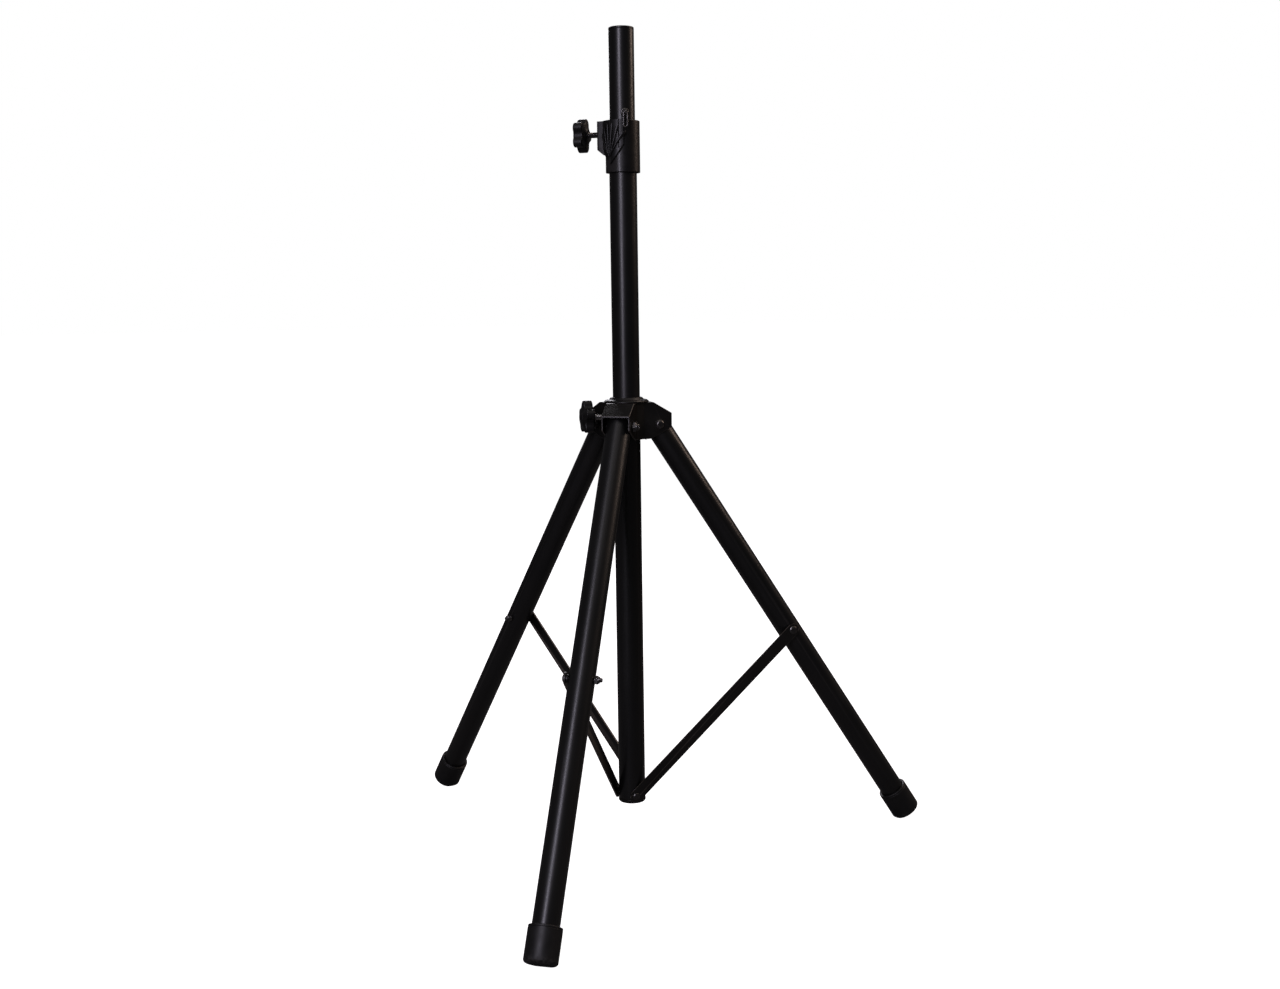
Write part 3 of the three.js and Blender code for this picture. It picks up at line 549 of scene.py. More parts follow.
def zinc():
    """Bright zinc plate with a faint bloom and rolling marks."""
    s = Surface("zinc", Metallic=1.0)
    bloom = s.noise(420, detail=4)
    tone = s.mix(bloom, shade(0.62, -0.03), shade(0.8, 0.04))
    gloss = s.between(bloom, 0.3, 0.7, 0.16, 0.32)
    marks = s.bump(s.noise(1, 3, (3000, 3000, 300)), 0.00001, 0.5)
    return s.feed(Base_Color=tone, Roughness=gloss, Normal=marks)


MATERIALS = {
    "powder_coat": powder_coat(),
    "pressed_steel": pressed_steel(),
    "black_plastic": black_plastic(),
    "rubber": rubber(),
    "black_fastener": black_fastener(),
    "zinc": zinc(),
}


# ------------------------------------------------------------------ stock hardware
def thread(radius, pitch, depth, low, high):
    """A rod about Z with a rolled thread, run out at both ends."""
    facets = 24
    rings = []
    steps = max(int((high - low) / pitch * 6), 4)
    for i in range(steps + 1):
        z = low + (high - low) * i / steps
        run_out = min(z - low, high - z, pitch) / pitch
        ring = []
        for k in range(facets):
            wave = 0.5 - 0.5 * math.cos(TURN * (z / pitch - k / facets))
            r = radius - depth * (1 - run_out) - depth * wave * run_out
            ring.append((r * math.cos(TURN * k / facets), r * math.sin(TURN * k / facets), z))
        rings.append(ring)
    return solid(skin(rings))


def hex_nut(flats, bore, low, high):
    """A hexagon nut about Z with turned chamfers on both faces."""
    corner = flats / math.sqrt(3)
    face = 0.47 * flats
    drop = (corner - face) * math.tan(math.radians(30))
    corners = [(corner * math.cos(TURN * k / 6), corner * math.sin(TURN * k / 6)) for k in range(6)]
    blank = prism(corners, low, high)
    turned = lathe(
        [
            (0, low, 0),
            (face, low, 0.2),
            (corner, low + drop, 0),
            (corner, high - drop, 0),
            (face, high, 0.2),
            (0, high, 0),
        ]
    )
    hole = lathe(
        [
            (0, low - 1, 0),
            (bore + 1.5, low - 1, 0),
            (bore, low + 0.6, 0),
            (bore, high - 0.6, 0),
            (bore + 1.5, high + 1, 0),
            (0, high + 1, 0),
        ],
        facets=36,
    )
    return soften(cut(common(blank, turned), hole), 0.25, angle=20, segments=2)


def dome_head(radius, height, shank, seat, end):
    """A low round head on z = seat, with its shank down to end."""
    return lathe(
        [
            (0, end, 0),
            (shank, end, 0.4),
            (shank, seat, 0.2),
            (radius, seat, 0.35),
            (radius, seat + 0.34 * height, 0.6 * height),
            (0.62 * radius, seat + height, 1.6 * height),
            (0, seat + height, 0),
        ],
        facets=48,
        steps=6,
    )


def washer(radius, bore, low, high):
    return pipe(radius, bore, low, high, fillet=0.35, facets=48)


# ------------------------------------------------------------------ mast and pole
def make_mast():
    low, high = span("mast_tube")
    rivet_z = JOINTS["brace_fold_front"]["pos_m"][2] / MM
    bore = MAST_RADIUS - MAST_WALL
    body = pipe(MAST_RADIUS, bore, low, high, facets=128, levels=[rivet_z - 5, rivet_z + 5])
    for leg in LEGS:
        drill = rod(BOLT_RADIUS + GAP, MAST_RADIUS - 4, MAST_RADIUS + 2, 36)
        moved(drill, ALONG_MINUS_Y, shift(z=rivet_z))
        cut(body, moved(drill, on_mast(0, leg_outward(leg)).to_3x3().to_4x4()))
    show(body, "mast_tube_skin", on_mast(0), "mast", "powder_coat", "mast_tube")


def make_mast_plug():
    low, high = span("mast_end_plug")
    flange = MAST_RADIUS + 0.5
    bore = MAST_RADIUS - MAST_WALL
    mast_low = span("mast_tube")[0]
    body = lathe(
        [
            (0, low + 1.6, 0),
            (flange - 6, low + 1.6, 0.8),
            (flange - 5, low, 0.5),
            (flange - 1.2, low, 1),
            (flange, low + 1.6, 0.8),
            (flange, mast_low - GAP, 0.5),
            (bore - GAP, mast_low - GAP, 0.2),
            (bore - GAP, high, 0.6),
            (bore - GAP - 4, high, 0.6),
            (bore - GAP - 4, mast_low, 0.8),
            (0, mast_low, 0),
        ]
    )
    show(body, "mast_end_plug_skin", on_mast(0), "mast", "black_plastic", "mast_end_plug")


def make_pole():
    low, high = span("pole_tube")
    pin = JOINTS["bail_swing"]["pos_m"][2] / MM
    holes = [pin - i * PIN_HOLE_STEP for i in range(PIN_HOLE_COUNT)]
    body = pipe(POLE_RADIUS, POLE_RADIUS - POLE_WALL, low, high, facets=128, levels=beside(holes))
    toward_pin = axes(Vector(), JOINTS["pin_pull"]["axis"])
    for hole in holes:
        drill = rod(PIN_RADIUS + GAP, -POLE_RADIUS - 2, POLE_RADIUS + 2)
        cut(body, moved(drill, ALONG_X, toward_pin, shift(z=hole)))
    show(body, "pole_tube_skin", on_mast(0), "pole", "powder_coat", "pole_tube")


def make_pole_cap():
    _, high = span("pole_cap")
    seat = span("pole_tube")[1] + GAP
    spigot = POLE_RADIUS - POLE_WALL - GAP
    body = lathe(
        [
            (0, seat + 0.8, 0),
            (spigot - 2.2, seat + 0.8, 0.6),
            (spigot - 2.2, span("pole_cap")[0], 0.6),
            (spigot, span("pole_cap")[0], 0.8),
            (spigot, seat, 0.2),
            (POLE_RADIUS, seat, 0.3),
            (POLE_RADIUS, high, 2.4),
            (POLE_RADIUS - 4.6, high, 0.3),
            (POLE_RADIUS - 5.2, high - 0.6, 0.3),
            (POLE_RADIUS - 6.4, high - 0.6, 0.3),
            (POLE_RADIUS - 7, high, 0.3),
            (2.6, high, 0.2),
            (2.2, high - 0.5, 0.2),
            (0, high - 0.5, 0),
        ],
        steps=5,
    )
    show(body, "pole_cap_skin", on_mast(0), "pole", "black_plastic", "pole_cap")


# ------------------------------------------------------------------ height collar
def arc(x, y, radius, start, end, steps=10):
    """Points on an arc, its angles in degrees."""
    angles = [math.radians(start + (end - start) * k / steps) for k in range(steps + 1)]
    return [(x + radius * math.cos(a), y + radius * math.sin(a)) for a in angles]


def bezier(a, b, c, steps=14):
    """Points on a curve from a to c that leans towards b, without its first point."""
    points = []
    for k in range(1, steps + 1):
        t = k / steps
        points.append(tuple((1 - t) ** 2 * p + 2 * t * (1 - t) * q + t * t * r for p, q, r in zip(a, b, c)))
    return points


def wrapped(outline, near, radius, top):
    """An outline in the Y-Z plane, pressed on the collar out to a radius."""
    facing = Matrix.Rotation(math.pi / 2, 4, "Y") @ Matrix.Rotation(math.pi / 2, 4, "Z")
    panel = moved(prism(outline, near, radius + 3), facing)
    return common(panel, rod(radius, top - 2 * SHIELD_HEIGHT, top, 160))


def shield_outline(top, inset=0):
    half = SHIELD_HALF_WIDTH - inset
    side = top - SHIELD_SIDE
    bulge = top - 0.68 * SHIELD_HEIGHT
    tip = (0, top - SHIELD_HEIGHT + 1.5 * inset)
    line = [(half, top + 1), (-half, top + 1), (-half, side)]
    line += bezier((-half, side), (-0.8 * half, bulge), tip)
    line += bezier(tip, (0.8 * half, bulge), (half, side))
    return line


def rib(index, top):
    """A round-backed rib that fans up and outwards from the point of the shield."""
    spread = 2 * index / (RIB_COUNT - 1) - 1
    foot = Vector((3 * spread, top - SHIELD_HEIGHT + 9 + 5 * spread**2))
    tip = Vector((spread * (SHIELD_HALF_WIDTH - 3.5), top - 4 - (SHIELD_SIDE - 4) * spread**2))
    along = (tip - foot).normalized()
    across = Vector((-along.y, along.x))
    rings = []
    count = 26
    for i in range(count + 1):
        t = i / count
        point = foot.lerp(tip, t)
        width = (0.8 + 1.5 * t) * math.sqrt(max(1 - (2 * t - 1) ** 8, 0.02))
        lift = 1.5 * math.sqrt(max(1 - (2 * t - 1) ** 6, 0.02))
        ring = []
        for k in range(14):
            a = TURN * k / 14
            flat = point + across * width * math.cos(a)
            out = math.sqrt(max((SHIELD_RADIUS + 0.2) ** 2 - flat.x**2, 1)) + lift * math.sin(a)
            ring.append((out, flat.x, flat.y))
        rings.append(ring)
    return solid(skin(rings))


def make_collar():
    low, top = span("height_collar")
    mast_top = span("mast_tube")[1]
    body = lathe(
        [
            (0, low, 0),
            (COLLAR_RADIUS, low, 0.8),
            (COLLAR_RADIUS, top, 1.1),
            (0, top, 0),
        ],
        facets=160,
    )
    shield = wrapped(shield_outline(top), MAST_RADIUS + 1, SHIELD_RADIUS, top)
    soften(shield, 0.7, angle=40)
    inner = wrapped(shield_outline(top, 3), SHIELD_RADIUS - 4, SHIELD_RADIUS + 2, top + 2)
    floor = rod(SHIELD_RADIUS - 0.8, top - 2 * SHIELD_HEIGHT, top + 4, 160)
    shield = cut(shield, cut(inner, floor))
    ribs = [rib(i, top) for i in range(RIB_COUNT)]
    shield_turn = Matrix.Rotation(SHIELD_AZIMUTH - math.pi / 2, 4, "Z")
    join(body, moved(shield, shield_turn))

    flat_low = top - BOSS_HEIGHT
    side = rounded(
        [
            (MAST_RADIUS, top, 0),
            (MAST_RADIUS, flat_low - BOSS_CHAMFER, 0),
            (COLLAR_RADIUS, flat_low - BOSS_CHAMFER, 0.6),
            (BOSS_REACH, flat_low, 1.2),
            (BOSS_REACH, top, 1.2),
        ]
    )
    half = BOSS_WIDTH / 2
    plan = [(MAST_RADIUS - 1, half), (MAST_RADIUS - 1, -half)]
    turn_x = BOSS_REACH - BOSS_CORNER
    plan += arc(turn_x, BOSS_CORNER - half, BOSS_CORNER, -90, 0)
    plan += arc(turn_x, half - BOSS_CORNER, BOSS_CORNER, 0, 90)
    boss = common(plate(side, BOSS_WIDTH + 2), prism(plan, low, top + 1))
    knob_turn = axes(Vector(), JOINTS["collar_knob_turn"]["axis"])
    stud_z = JOINTS["collar_knob_turn"]["pos_m"][2] / MM
    bush = pipe(BUSH_RADIUS, STUD_RADIUS + GAP, BOSS_REACH - 3, BOSS_REACH + 0.9, 0.4)
    moved(bush, ALONG_X, shift(z=stud_z))
    join(body, moved(boss, knob_turn))
    soften(body, 0.8, angle=32)
    for one in ribs:
        join(body, moved(one, shield_turn))
    join(body, moved(bush, knob_turn))

    bore = rod(POLE_RADIUS + GAP, low - 1, top + 2, 128)
    seat = rod(MAST_RADIUS + GAP, low - 1, mast_top + GAP, 128)
    stud_hole = rod(STUD_RADIUS + GAP, POLE_RADIUS, BOSS_REACH + 2)
    moved(stud_hole, ALONG_X, shift(z=stud_z), knob_turn)
    near = BOSS_REACH - NUT_IN_BOSS - GAP
    far = near + NUT_HEIGHT + 2 * GAP
    half = NUT_FLATS / 2 + GAP
    nut_slot = prism([(near, -half), (far, -half), (far, half), (near, half)], stud_z - half, top + 2)
    cut(body, bore, seat, stud_hole, moved(nut_slot, knob_turn))
    show(body, "height_collar_skin", on_mast(0), "mast", "black_plastic", "height_collar")


# ------------------------------------------------------------------ clamp knobs
def lobed_radius(angle):
    """Distance from the knob's axis to its rim: round lobes with scallops that touch them."""
    step = TURN / KNOB_LOBES
    lobe_at = KNOB_RADIUS - LOBE_RADIUS
    reach = LOBE_RADIUS + SCALLOP_RADIUS
    half = step / 2
    scallop_at = lobe_at * math.cos(half) + math.sqrt(reach**2 - (lobe_at * math.sin(half)) ** 2)
    toward = math.atan2(scallop_at * math.sin(half), scallop_at * math.cos(half) - lobe_at)
    touch = math.atan2(LOBE_RADIUS * math.sin(toward), lobe_at + LOBE_RADIUS * math.cos(toward))
    off = abs((angle + half) % step - half)
    if off < touch:
        return lobe_at * math.cos(off) + math.sqrt(LOBE_RADIUS**2 - (lobe_at * math.sin(off)) ** 2)
    other = half - off
    return scallop_at * math.cos(other) - math.sqrt(SCALLOP_RADIUS**2 - (scallop_at * math.sin(other)) ** 2)


def make_knob(name, joint, body_name, reach, lobe_turn):
    """A five-lobed hand knob along X: crowned face with a round cap, stepped back.

    In the profile a share up to 1 is a part of the hub's radius, and 2 is the lobed rim.
    """
    rim = KNOB_RIM / 2
    edge = 1.8
    profile = [(0, -10), (0.62, -10), (0.8, -9.8), (0.86, -9.2), (1, -8.4), (1.25, -rim - 0.6)]
    for k in range(7):
        a = math.radians(90 * k / 6)
        profile.append((2 - 0.26 * (1 - math.sin(a)), -rim + edge * (1 - math.cos(a))))
    for k in range(7):
        a = math.radians(90 * k / 6)
        profile.append((2 - 0.26 * (1 - math.cos(a)), rim - edge * (1 - math.sin(a))))
    profile += [(1.45, rim + 0.9), (1.16, rim + 1.9), (1.04, rim + 2.3), (0.98, rim + 1.9)]
    profile += [(0.92, rim + 1.9), (0.88, rim + 2.6), (0.8, rim + 3.1), (0.5, rim + 3.7), (0, rim + 3.9)]
    facets = 180
    rings = []
    for share, x in profile:
        ring = []
        for k in range(facets):
            a = TURN * k / facets
            inner = KNOB_HUB * min(share, 1)
            outer = (lobed_radius(a) - KNOB_HUB) * max(share - 1, 0)
            r = inner + outer
            ring.append((x, r * math.cos(a), r * math.sin(a)))
        rings.append(ring)
    body = solid(skin(rings))
    socket = moved(rod(STUD_RADIUS + GAP, -12, STUD_IN_KNOB + GAP), ALONG_X)
    cut(body, socket)
    moved(body, Matrix.Rotation(lobe_turn, 4, "X"), shift(x=reach))
    place = axes(Vector(JOINTS[joint]["pos_m"]), JOINTS[joint]["axis"])
    show(body, f"{name}_skin", place, body_name, "black_plastic", name)


def make_stud(name, joint, body_name, reach, slot):
    place = axes(Vector(JOINTS[joint]["pos_m"]), JOINTS[joint]["axis"])
    near = min((place.inverted() @ v.co).x for v in frame["nodes"][name].data.vertices) / MM
    body = moved(thread(STUD_RADIUS, STUD_PITCH, 0.55, near, reach + STUD_IN_KNOB), ALONG_X)
    show(body, f"{name}_skin", place, body_name, slot, name)


# ------------------------------------------------------------------ locking pin
def make_pin():
    joint = JOINTS["bail_swing"]
    eye = Vector(joint["pos_m"])
    place = axes(Vector((mast_x, mast_y, eye.z)), JOINTS["pin_pull"]["axis"])
    reach = (place.inverted() @ eye).x / MM
    back = POLE_RADIUS + 0.8
    shank = lathe(
        [
            (0, -POLE_RADIUS - 4, 0),
            (PIN_RADIUS - 1.5, -POLE_RADIUS - 4, 0.5),
            (PIN_RADIUS, -POLE_RADIUS - 2, 0.6),
            (PIN_RADIUS, back, 0.2),
            (PIN_HEAD_RADIUS, back, 0.4),
            (PIN_HEAD_RADIUS, back + 2.6, 0.4),
            (PIN_NECK_RADIUS, back + 3.1, 0.3),
            (PIN_NECK_RADIUS, back + 3.9, 0.3),
            (PIN_HEAD_RADIUS, back + 4.4, 0.4),
            (PIN_HEAD_RADIUS, reach - 3, 1.1),
            (0, reach - 3, 0),
        ],
        facets=48,
    )
    eye_side = [(reach - 5, -3), (reach - 0.4, -3), *arc(reach, 0, 2.9, -80, 80)]
    tongue = plate([*eye_side, (reach - 0.4, 3), (reach - 5, 3)], 2.6)
    soften(tongue, 0.4, angle=40)
    hole = moved(rod(BAIL_WIRE + GAP, -5, 5, 32), ALONG_Y, shift(x=reach))
    body = cut(join(moved(shank, ALONG_X), tongue), hole)
    show(body, "locking_pin_skin", place, "pin", "black_fastener", "locking_pin")

    half = BAIL_HALF_WIDTH
    bend = BAIL_BEND
    foot = half - BAIL_DROP
    line = [(-0.2, 0), (bend - half, 0), *arc(bend - half, -bend, bend, 90, 180, 6)[1:]]
    line += [(-half, foot), *arc(0, foot, half, 180, 360, 16)[1:]]
    line += [*arc(half - bend, -bend, bend, 0, 90, 6), (0.2, 0)]
    path = [Vector((reach, y, z)) for y, z in line]
    rings = []
    for i, point in enumerate(path):
        ahead = path[min(i + 1, len(path) - 1)] - path[max(i - 1, 0)]
        side = ahead.normalized().cross(Vector((1, 0, 0)))
        ring = [point + BAIL_WIRE * (math.cos(a) * side + math.sin(a) * Vector((1, 0, 0)))
                for a in (TURN * k / 20 for k in range(20))]
        rings.append(ring)
    show(solid(skin(rings)), "pin_bail_skin", place, "bail", "black_fastener", "pin_bail")


# ------------------------------------------------------------------ hub
def arm_outline(inset):
    """Side view of one arm; the hollow inside it is the same, shrunk by the sheet."""
    top = HUB_TOP - inset
    roof_low = HUB_TOP - ROOF_DROP - inset
    spare = 20 if inset else 0
    line = [(0, -HUB_SKIRT - spare), (CHEEK_LOW_REACH - 4, -HUB_SKIRT - spare)]
    if not spare:
        line += bezier(line[-1], (CHEEK_LOW_REACH, -HUB_SKIRT), (CHEEK_LOW_REACH + 4, 2 - HUB_SKIRT), 6)
    fall = spare * ROOF_DROP / (HUB_REACH - ROOF_START)
    line += [
        (HUB_REACH + spare, -CHEEK_END_DROP - spare),
        (HUB_REACH + spare, roof_low - fall),
        (ROOF_START, top),
        (0, top),
    ]
    return line


def hub_shell(inset, low, high):
    """Three arms round a six-sided middle, whose flats close the corners between them."""
    side = HUB_HALF_WIDTH - inset - 2
    half = math.pi / len(LEGS)
    reach = (HUB_WEB - inset - side * math.sin(half)) / math.cos(half)
    outline = []
    for leg in LEGS:
        turn = axes(Vector(), leg_outward(leg))
        outline += [tuple((turn @ Vector((reach, y, 0))).xy) for y in (-side, side)]
    core = prism(outline, low, high)
    arms = [moved(plate(arm_outline(inset), 2 * (HUB_HALF_WIDTH - inset)), axes(Vector(), leg_outward(leg)))
            for leg in LEGS]
    return join(core, *arms)


def make_bracket():
    hub_z = JOINTS["leg_fold_front"]["pos_m"][2]
    body = soften(hub_shell(0, -HUB_SKIRT, HUB_TOP), 1.5, angle=24, segments=4)
    inner = hub_shell(HUB_SHEET, -HUB_SKIRT - 5, HUB_TOP - HUB_SHEET)
    mast_hole = rod(MAST_RADIUS + 2 * GAP + SLEEVE_WALL, 0, HUB_TOP + 5, 128)
    knob = JOINTS["hub_knob_turn"]
    stud_z = (knob["pos_m"][2] - hub_z) / MM
    stud_hole = rod(STUD_RADIUS + GAP, HUB_WEB - 6, HUB_WEB + 4)
    moved(stud_hole, ALONG_X, shift(z=stud_z), axes(Vector(), knob["axis"]))
    cut(body, inner, mast_hole, stud_hole)
    for leg in LEGS:
        bolt_hole = moved(rod(PIVOT_BOLT_RADIUS + GAP, -30, 30), ALONG_Y, shift(x=PIVOT_RADIUS))
        cut(body, moved(bolt_hole, axes(Vector(), leg_outward(leg))))
    frame_panels(body)
    show(body, "hub_bracket_skin", on_mast(hub_z), "hub", "pressed_steel", "hub_bracket")


def make_sleeve():
    hub_z = JOINTS["leg_fold_front"]["pos_m"][2]
    bore = MAST_RADIUS + GAP
    seat = HUB_TOP + GAP
    step = seat + SLEEVE_FLANGE_HEIGHT
    top = step + SLEEVE_NECK_HEIGHT
    flange = SLEEVE_FLANGE_RADIUS
    neck = SLEEVE_NECK_RADIUS
    body = lathe(
        [
            (bore, SLEEVE_LOW, 0.4),
            (bore + SLEEVE_WALL, SLEEVE_LOW, 0.4),
            (bore + SLEEVE_WALL, seat, 0.2),
            (flange, seat, 0.3),
            (flange, seat + 1.3, 0.9),
            (flange - 2.6, step, 1.4),
            (neck + 1.4, step + 0.5, 0.8),
            (neck, step + 1.9, 1),
            (neck - 1.4, top, 0.6),
            (bore, top, 0.4),
        ],
        facets=128,
    )
    show(body, "hub_sleeve_skin", on_mast(hub_z), "hub", "black_plastic", "hub_sleeve")


def make_hub_nut():
    knob = JOINTS["hub_knob_turn"]
    near = HUB_WEB + GAP
    nut = hex_nut(NUT_FLATS, STUD_RADIUS + GAP, near, near + NUT_HEIGHT)
    bead = lathe([(6, near - 0.2, 0), (8.6, near - 0.2, 0.5), (7, near + 1.6, 0.6), (6, near + 1.6, 0)], 48)
    body = moved(join(nut, bead), ALONG_X)
    show(body, "hub_nut_skin", axes(Vector(knob["pos_m"]), knob["axis"]), "hub", "pressed_steel", "hub_nut")


# ------------------------------------------------------------------ legs
def make_leg(leg):
    place = leg_frame(leg)
    end = FOOT_SOLE + GAP - LEG_LENGTH
    levels = beside([-BRACE_ON_LEG]) + [-8]
    body = pipe(LEG_RADIUS, LEG_RADIUS - LEG_WALL, end, LEG_TIP_RADIUS + 1, facets=128, levels=levels)
    side = [(-LEG_TIP_RADIUS, end - 1), (LEG_TIP_RADIUS, end - 1), *arc(0, 0, LEG_TIP_RADIUS, 0, 180, 40)]
    reach = LEG_RADIUS + 2
    pivot_hole = moved(rod(PIVOT_BOLT_RADIUS + GAP, -reach, reach), ALONG_Y)
    brace_hole = moved(rod(BOLT_RADIUS + GAP, -reach, reach), ALONG_Y, shift(z=-BRACE_ON_LEG))
    common(body, plate(side, 2 * reach))
    cut(body, pivot_hole, brace_hole)
    show(body, f"leg_tube_skin_{leg}", place, f"leg_{leg}", "powder_coat", f"leg_tube_{leg}")


def make_foot(leg):
    """Rubber cup: lip, two moulded beads, round sole edge, tread rings, worn inner edge."""
    sole = -LEG_LENGTH
    cuff = sole + FOOT_LENGTH
    bore = LEG_RADIUS + GAP
    line = [(0, sole + 0.8, 0), (4, sole + 0.8, 0.2), (4.5, sole, 0.3)]
    for r in TREAD_RADII:
        line += [(r, sole, 0.3), (r + 0.4, sole + 1, 0.2), (r + 1.2, sole + 1, 0.2), (r + 1.6, sole, 0.3)]
    line += [
        (FOOT_RADIUS, sole, FOOT_EDGE),
        (FOOT_RADIUS, cuff - 3.4, 0.4),
        (FOOT_RADIUS - 0.55, cuff - 3.1, 0.3),
        (FOOT_RADIUS - 0.55, cuff - 2.7, 0.3),
        (FOOT_RADIUS, cuff - 2.4, 0.4),
        (FOOT_RADIUS - 0.2, cuff, 1.1),
        (bore, cuff, 0.6),
        (bore, sole + FOOT_SOLE, 0.4),
        (0, sole + FOOT_SOLE, 0),
    ]
    body = lathe(line, facets=128, steps=7)
    place = leg_frame(leg)
    ground = prism([(-200, -200), (200, -200), (200, 200), (-200, 200)], -100, 0)
    moved(ground, Matrix.Translation((place.translation.x, place.translation.y, 0)), place.inverted())
    cut(body, ground)
    show(body, f"foot_skin_{leg}", place, f"leg_{leg}", "rubber", f"foot_{leg}")


def make_leg_hardware(leg):
    seat = HUB_HALF_WIDTH + GAP
    bolt = dome_head(6.8, 4.2, PIVOT_BOLT_RADIUS, seat, -(seat + 2))
    tail = thread(PIVOT_BOLT_RADIUS, STUD_PITCH, 0.5, seat + 1, seat + 9)
    moved(bolt, ALONG_MINUS_Y, shift(x=PIVOT_RADIUS))
    join(bolt, moved(tail, ALONG_Y, shift(x=PIVOT_RADIUS)))
    hub_place = on_mast(pivot_frame(leg).translation.z, leg_outward(leg))
    show(bolt, f"leg_pivot_bolt_skin_{leg}", hub_place, "hub", "black_fastener", f"leg_pivot_bolt_{leg}")
    bore = PIVOT_BOLT_RADIUS + GAP
    nylon = pipe(5.9, bore, seat + 4.6, seat + NUT_HEIGHT, 0.5, 48)
    nut = join(hex_nut(NUT_FLATS, bore, seat, seat + 5), nylon)
    moved(nut, ALONG_Y, shift(x=PIVOT_RADIUS))
    show(nut, f"leg_pivot_nut_skin_{leg}", hub_place, "hub", "black_fastener", f"leg_pivot_nut_{leg}")

    place = leg_frame(leg)
    body = f"leg_{leg}"
    at_brace = shift(z=-BRACE_ON_LEG)
    near = LEG_RADIUS + GAP
    shank = rod(BOLT_RADIUS, GAP - BRACE_OFFSET, near, 36)
    moved(join(shank, thread(BOLT_RADIUS, 1, 0.42, near - 1, near + 9.4)), ALONG_Y, at_brace)
    show(shank, f"brace_bolt_skin_{leg}", place, body, "black_fastener", f"brace_bolt_{leg}")
    bore = BOLT_RADIUS + GAP
    nut = join(hex_nut(BRACE_NUT_FLATS, bore, near, near + 4.4), pipe(4.6, bore, near + 4, near + 6, 0.5, 48))
    moved(nut, ALONG_Y, at_brace)
    show(nut, f"brace_nut_skin_{leg}", place, body, "black_fastener", f"brace_nut_{leg}")
    spacer = moved(washer(WASHER_RADIUS, bore, GAP - BRACE_OFFSET, -LEG_RADIUS - GAP), ALONG_Y, at_brace)
    show(spacer, f"brace_spacer_skin_{leg}", place, body, "black_plastic", f"brace_spacer_{leg}")


def make_brace(leg):
    place = brace_frame(leg)
    half = BRACE_WIDTH / 2
    middle = -(BRACE_OFFSET + BRACE_THICKNESS / 2)
    line = arc(0, 0, half, 90, 270, 28) + arc(BRACE_LENGTH, 0, half, -90, 90, 28)
    strip = plate(line, BRACE_THICKNESS, middle)
    for x in (0, BRACE_LENGTH):
        cut(strip, moved(rod(BOLT_RADIUS + GAP, -4, 4), ALONG_Y, shift(x=x, y=middle)))
    soften(strip, 0.45, angle=40)
    frame_panels(strip)
    show(strip, f"brace_skin_{leg}", place, f"brace_arm_{leg}", "pressed_steel", f"brace_{leg}")

    far = BRACE_OFFSET + BRACE_THICKNESS + GAP
    head = dome_head(6.2, 2.6, BOLT_RADIUS, far, BRACE_OFFSET + GAP)
    moved(head, ALONG_MINUS_Y, shift(x=BRACE_LENGTH))
    show(head, f"brace_head_skin_{leg}", place, f"brace_arm_{leg}", "black_fastener", f"brace_head_{leg}")

    rivet_place = on_mast(place.translation.z, leg_outward(leg))
    rivet = moved(dome_head(5.4, 2.2, BOLT_RADIUS, far, MAST_RADIUS - 6), ALONG_MINUS_Y)
    show(rivet, f"mast_rivet_skin_{leg}", rivet_place, "mast", "black_fastener", f"mast_rivet_{leg}")
    ring = washer(WASHER_RADIUS, BOLT_RADIUS + GAP, GAP - BRACE_OFFSET, -MAST_RADIUS - GAP)
    moved(ring, ALONG_Y)
    show(ring, f"mast_washer_skin_{leg}", rivet_place, "mast", "black_fastener", f"mast_washer_{leg}")


# ------------------------------------------------------------------ the whole stand
make_mast()
make_mast_plug()
make_pole()
make_pole_cap()
make_collar()
collar_knob_reach = BOSS_REACH + KNOB_STANDOFF
make_knob("collar_knob", "collar_knob_turn", "collar_clamp_knob", collar_knob_reach, COLLAR_LOBE_TURN)
make_stud("collar_stud", "collar_knob_turn", "collar_clamp_knob", collar_knob_reach, "black_fastener")
make_knob("hub_knob", "hub_knob_turn", "hub_clamp_knob", HUB_KNOB_REACH, HUB_LOBE_TURN)
make_stud("hub_stud", "hub_knob_turn", "hub_clamp_knob", HUB_KNOB_REACH, "zinc")
make_pin()
make_bracket()
make_sleeve()
make_hub_nut()
for leg in LEGS:
    make_leg(leg)
    make_foot(leg)
    make_leg_hardware(leg)
    make_brace(leg)

for row in frame["record"]["subparts"]:
    node = frame["nodes"][row["node"]]
    node.data.materials.clear()
    node.data.materials.append(MATERIALS[row["material_slot"]])


# ------------------------------------------------------------------ stage
CAMERA_LENS = 43.42
CAMERA_TURN = (0.456, 7.346, 0.785)  # yaw, pitch and roll, in degrees
CAMERA_DISTANCE = 2.1715  # metres, from the mast
CAMERA_HEIGHT = 0.7964  # metres


def make_camera():
    """At the distance and height from which the stand was photographed."""
    camera = bpy.data.cameras.new("camera")
    camera.sensor_width = 36
    camera.lens = CAMERA_LENS
    camera.clip_end = 100
    yaw, pitch, roll = (math.radians(angle) for angle in CAMERA_TURN)
    ahead = Vector((math.sin(yaw) * math.cos(pitch), math.cos(yaw) * math.cos(pitch), -math.sin(pitch)))
    right = Vector((math.cos(yaw), -math.sin(yaw), 0))
    down = ahead.cross(right)
    x = math.cos(roll) * right + math.sin(roll) * down
    y = math.sin(roll) * right - math.cos(roll) * down
    holder = bpy.data.objects.new("camera", camera)
    holder.matrix_world = Matrix((x, y, -ahead)).transposed().to_4x4()
    holder.matrix_world.translation = (mast_x, mast_y - CAMERA_DISTANCE, CAMERA_HEIGHT)
    bpy.context.scene.collection.objects.link(holder)
    bpy.context.scene.camera = holder


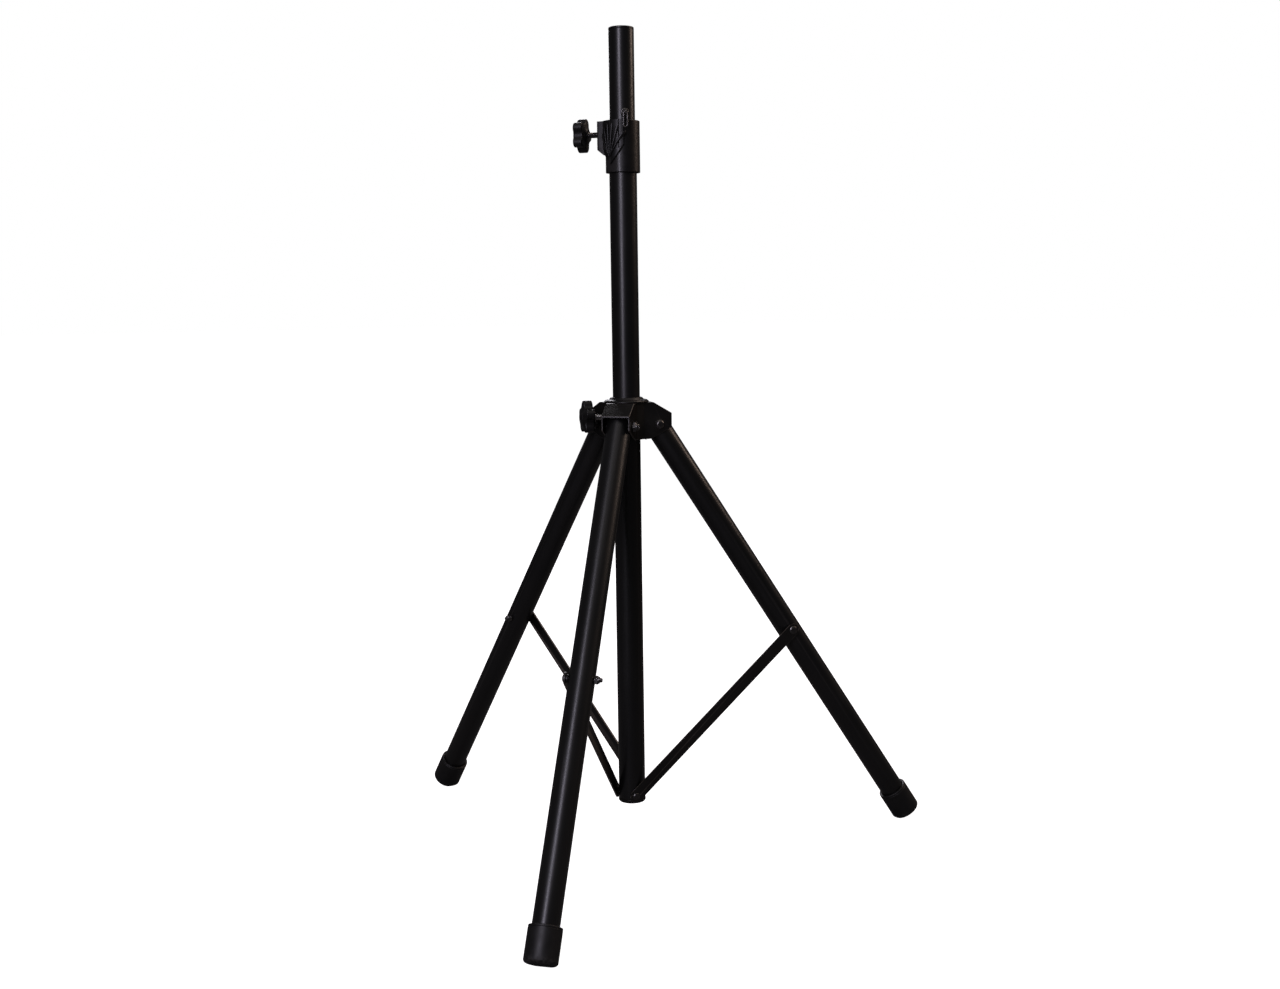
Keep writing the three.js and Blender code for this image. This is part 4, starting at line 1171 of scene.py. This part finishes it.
def soft_light(name, azimuth, distance, height, width, tall, power, tint):
    """A soft box that faces the mast; azimuth 0 is the camera's side, in degrees to its right."""
    light = bpy.data.lights.new(name, "AREA")
    light.shape = "RECTANGLE"
    light.size = width
    light.size_y = tall
    light.energy = power
    light.color = tint
    holder = bpy.data.objects.new(name, light)
    a = math.radians(azimuth)
    middle = Vector((mast_x, mast_y, 0.6))
    holder.location = (mast_x + distance * math.sin(a), mast_y - distance * math.cos(a), height)
    holder.rotation_euler = (middle - holder.location).to_track_quat("-Z", "Y").to_euler()
    bpy.context.scene.collection.objects.link(holder)


def make_floor():
    """A pale floor with a faint grain, wide enough to have no visible edge; dim in reflections."""
    build = bmesh.new()
    bmesh.ops.create_circle(build, cap_ends=True, radius=40000, segments=96)
    floor = solid(build)
    floor.name = "floor"
    s = Surface("floor_paint", Roughness=0.9, Specular_IOR_Level=0.0)
    seen = s.add("ShaderNodeLightPath").outputs["Is Camera Ray"]
    s.shader.inputs["Emission Color"].default_value = (1, 1, 1, 1)
    pale = s.mix(s.noise(40, 3), shade(0.86), shade(0.9))
    floor.data.materials.append(s.feed(Base_Color=s.mix(seen, shade(0.15), pale), Emission_Strength=seen))


def make_world():
    """White all round for the camera, and a dim room for light and reflections."""
    world = bpy.data.worlds.new("studio")
    bpy.context.scene.world = world
    world.use_nodes = True
    tree = world.node_tree
    room = tree.nodes["Background"]
    room.inputs["Color"].default_value = (0.62, 0.6, 0.63, 1)
    room.inputs["Strength"].default_value = 0.09
    white = tree.nodes.new("ShaderNodeBackground")
    white.inputs["Color"].default_value = (1, 1, 1, 1)
    mixer = tree.nodes.new("ShaderNodeMixShader")
    tree.links.new(tree.nodes.new("ShaderNodeLightPath").outputs["Is Camera Ray"], mixer.inputs[0])
    tree.links.new(room.outputs[0], mixer.inputs[1])
    tree.links.new(white.outputs[0], mixer.inputs[2])
    tree.links.new(mixer.outputs[0], tree.nodes["World Output"].inputs["Surface"])


make_camera()
make_floor()
make_world()
soft_light("key", -22, 2.8, 1.75, 0.36, 2.4, 40, (0.88, 0.83, 1.0))
soft_light("side", 104, 2.6, 2.0, 0.6, 1.3, 16, (1.0, 0.76, 0.62))
soft_light("warm", 125, 1.4, 2.5, 0.6, 0.6, 5, (1.0, 0.8, 0.68))
soft_light("back", 188, 2.8, 2.0, 0.8, 1.6, 22, (0.95, 0.93, 1.0))
soft_light("top", 10, 0.8, 3.4, 2.4, 2.4, 9, (1, 0.93, 0.9))
bpy.context.scene.view_settings.view_transform = "Standard"
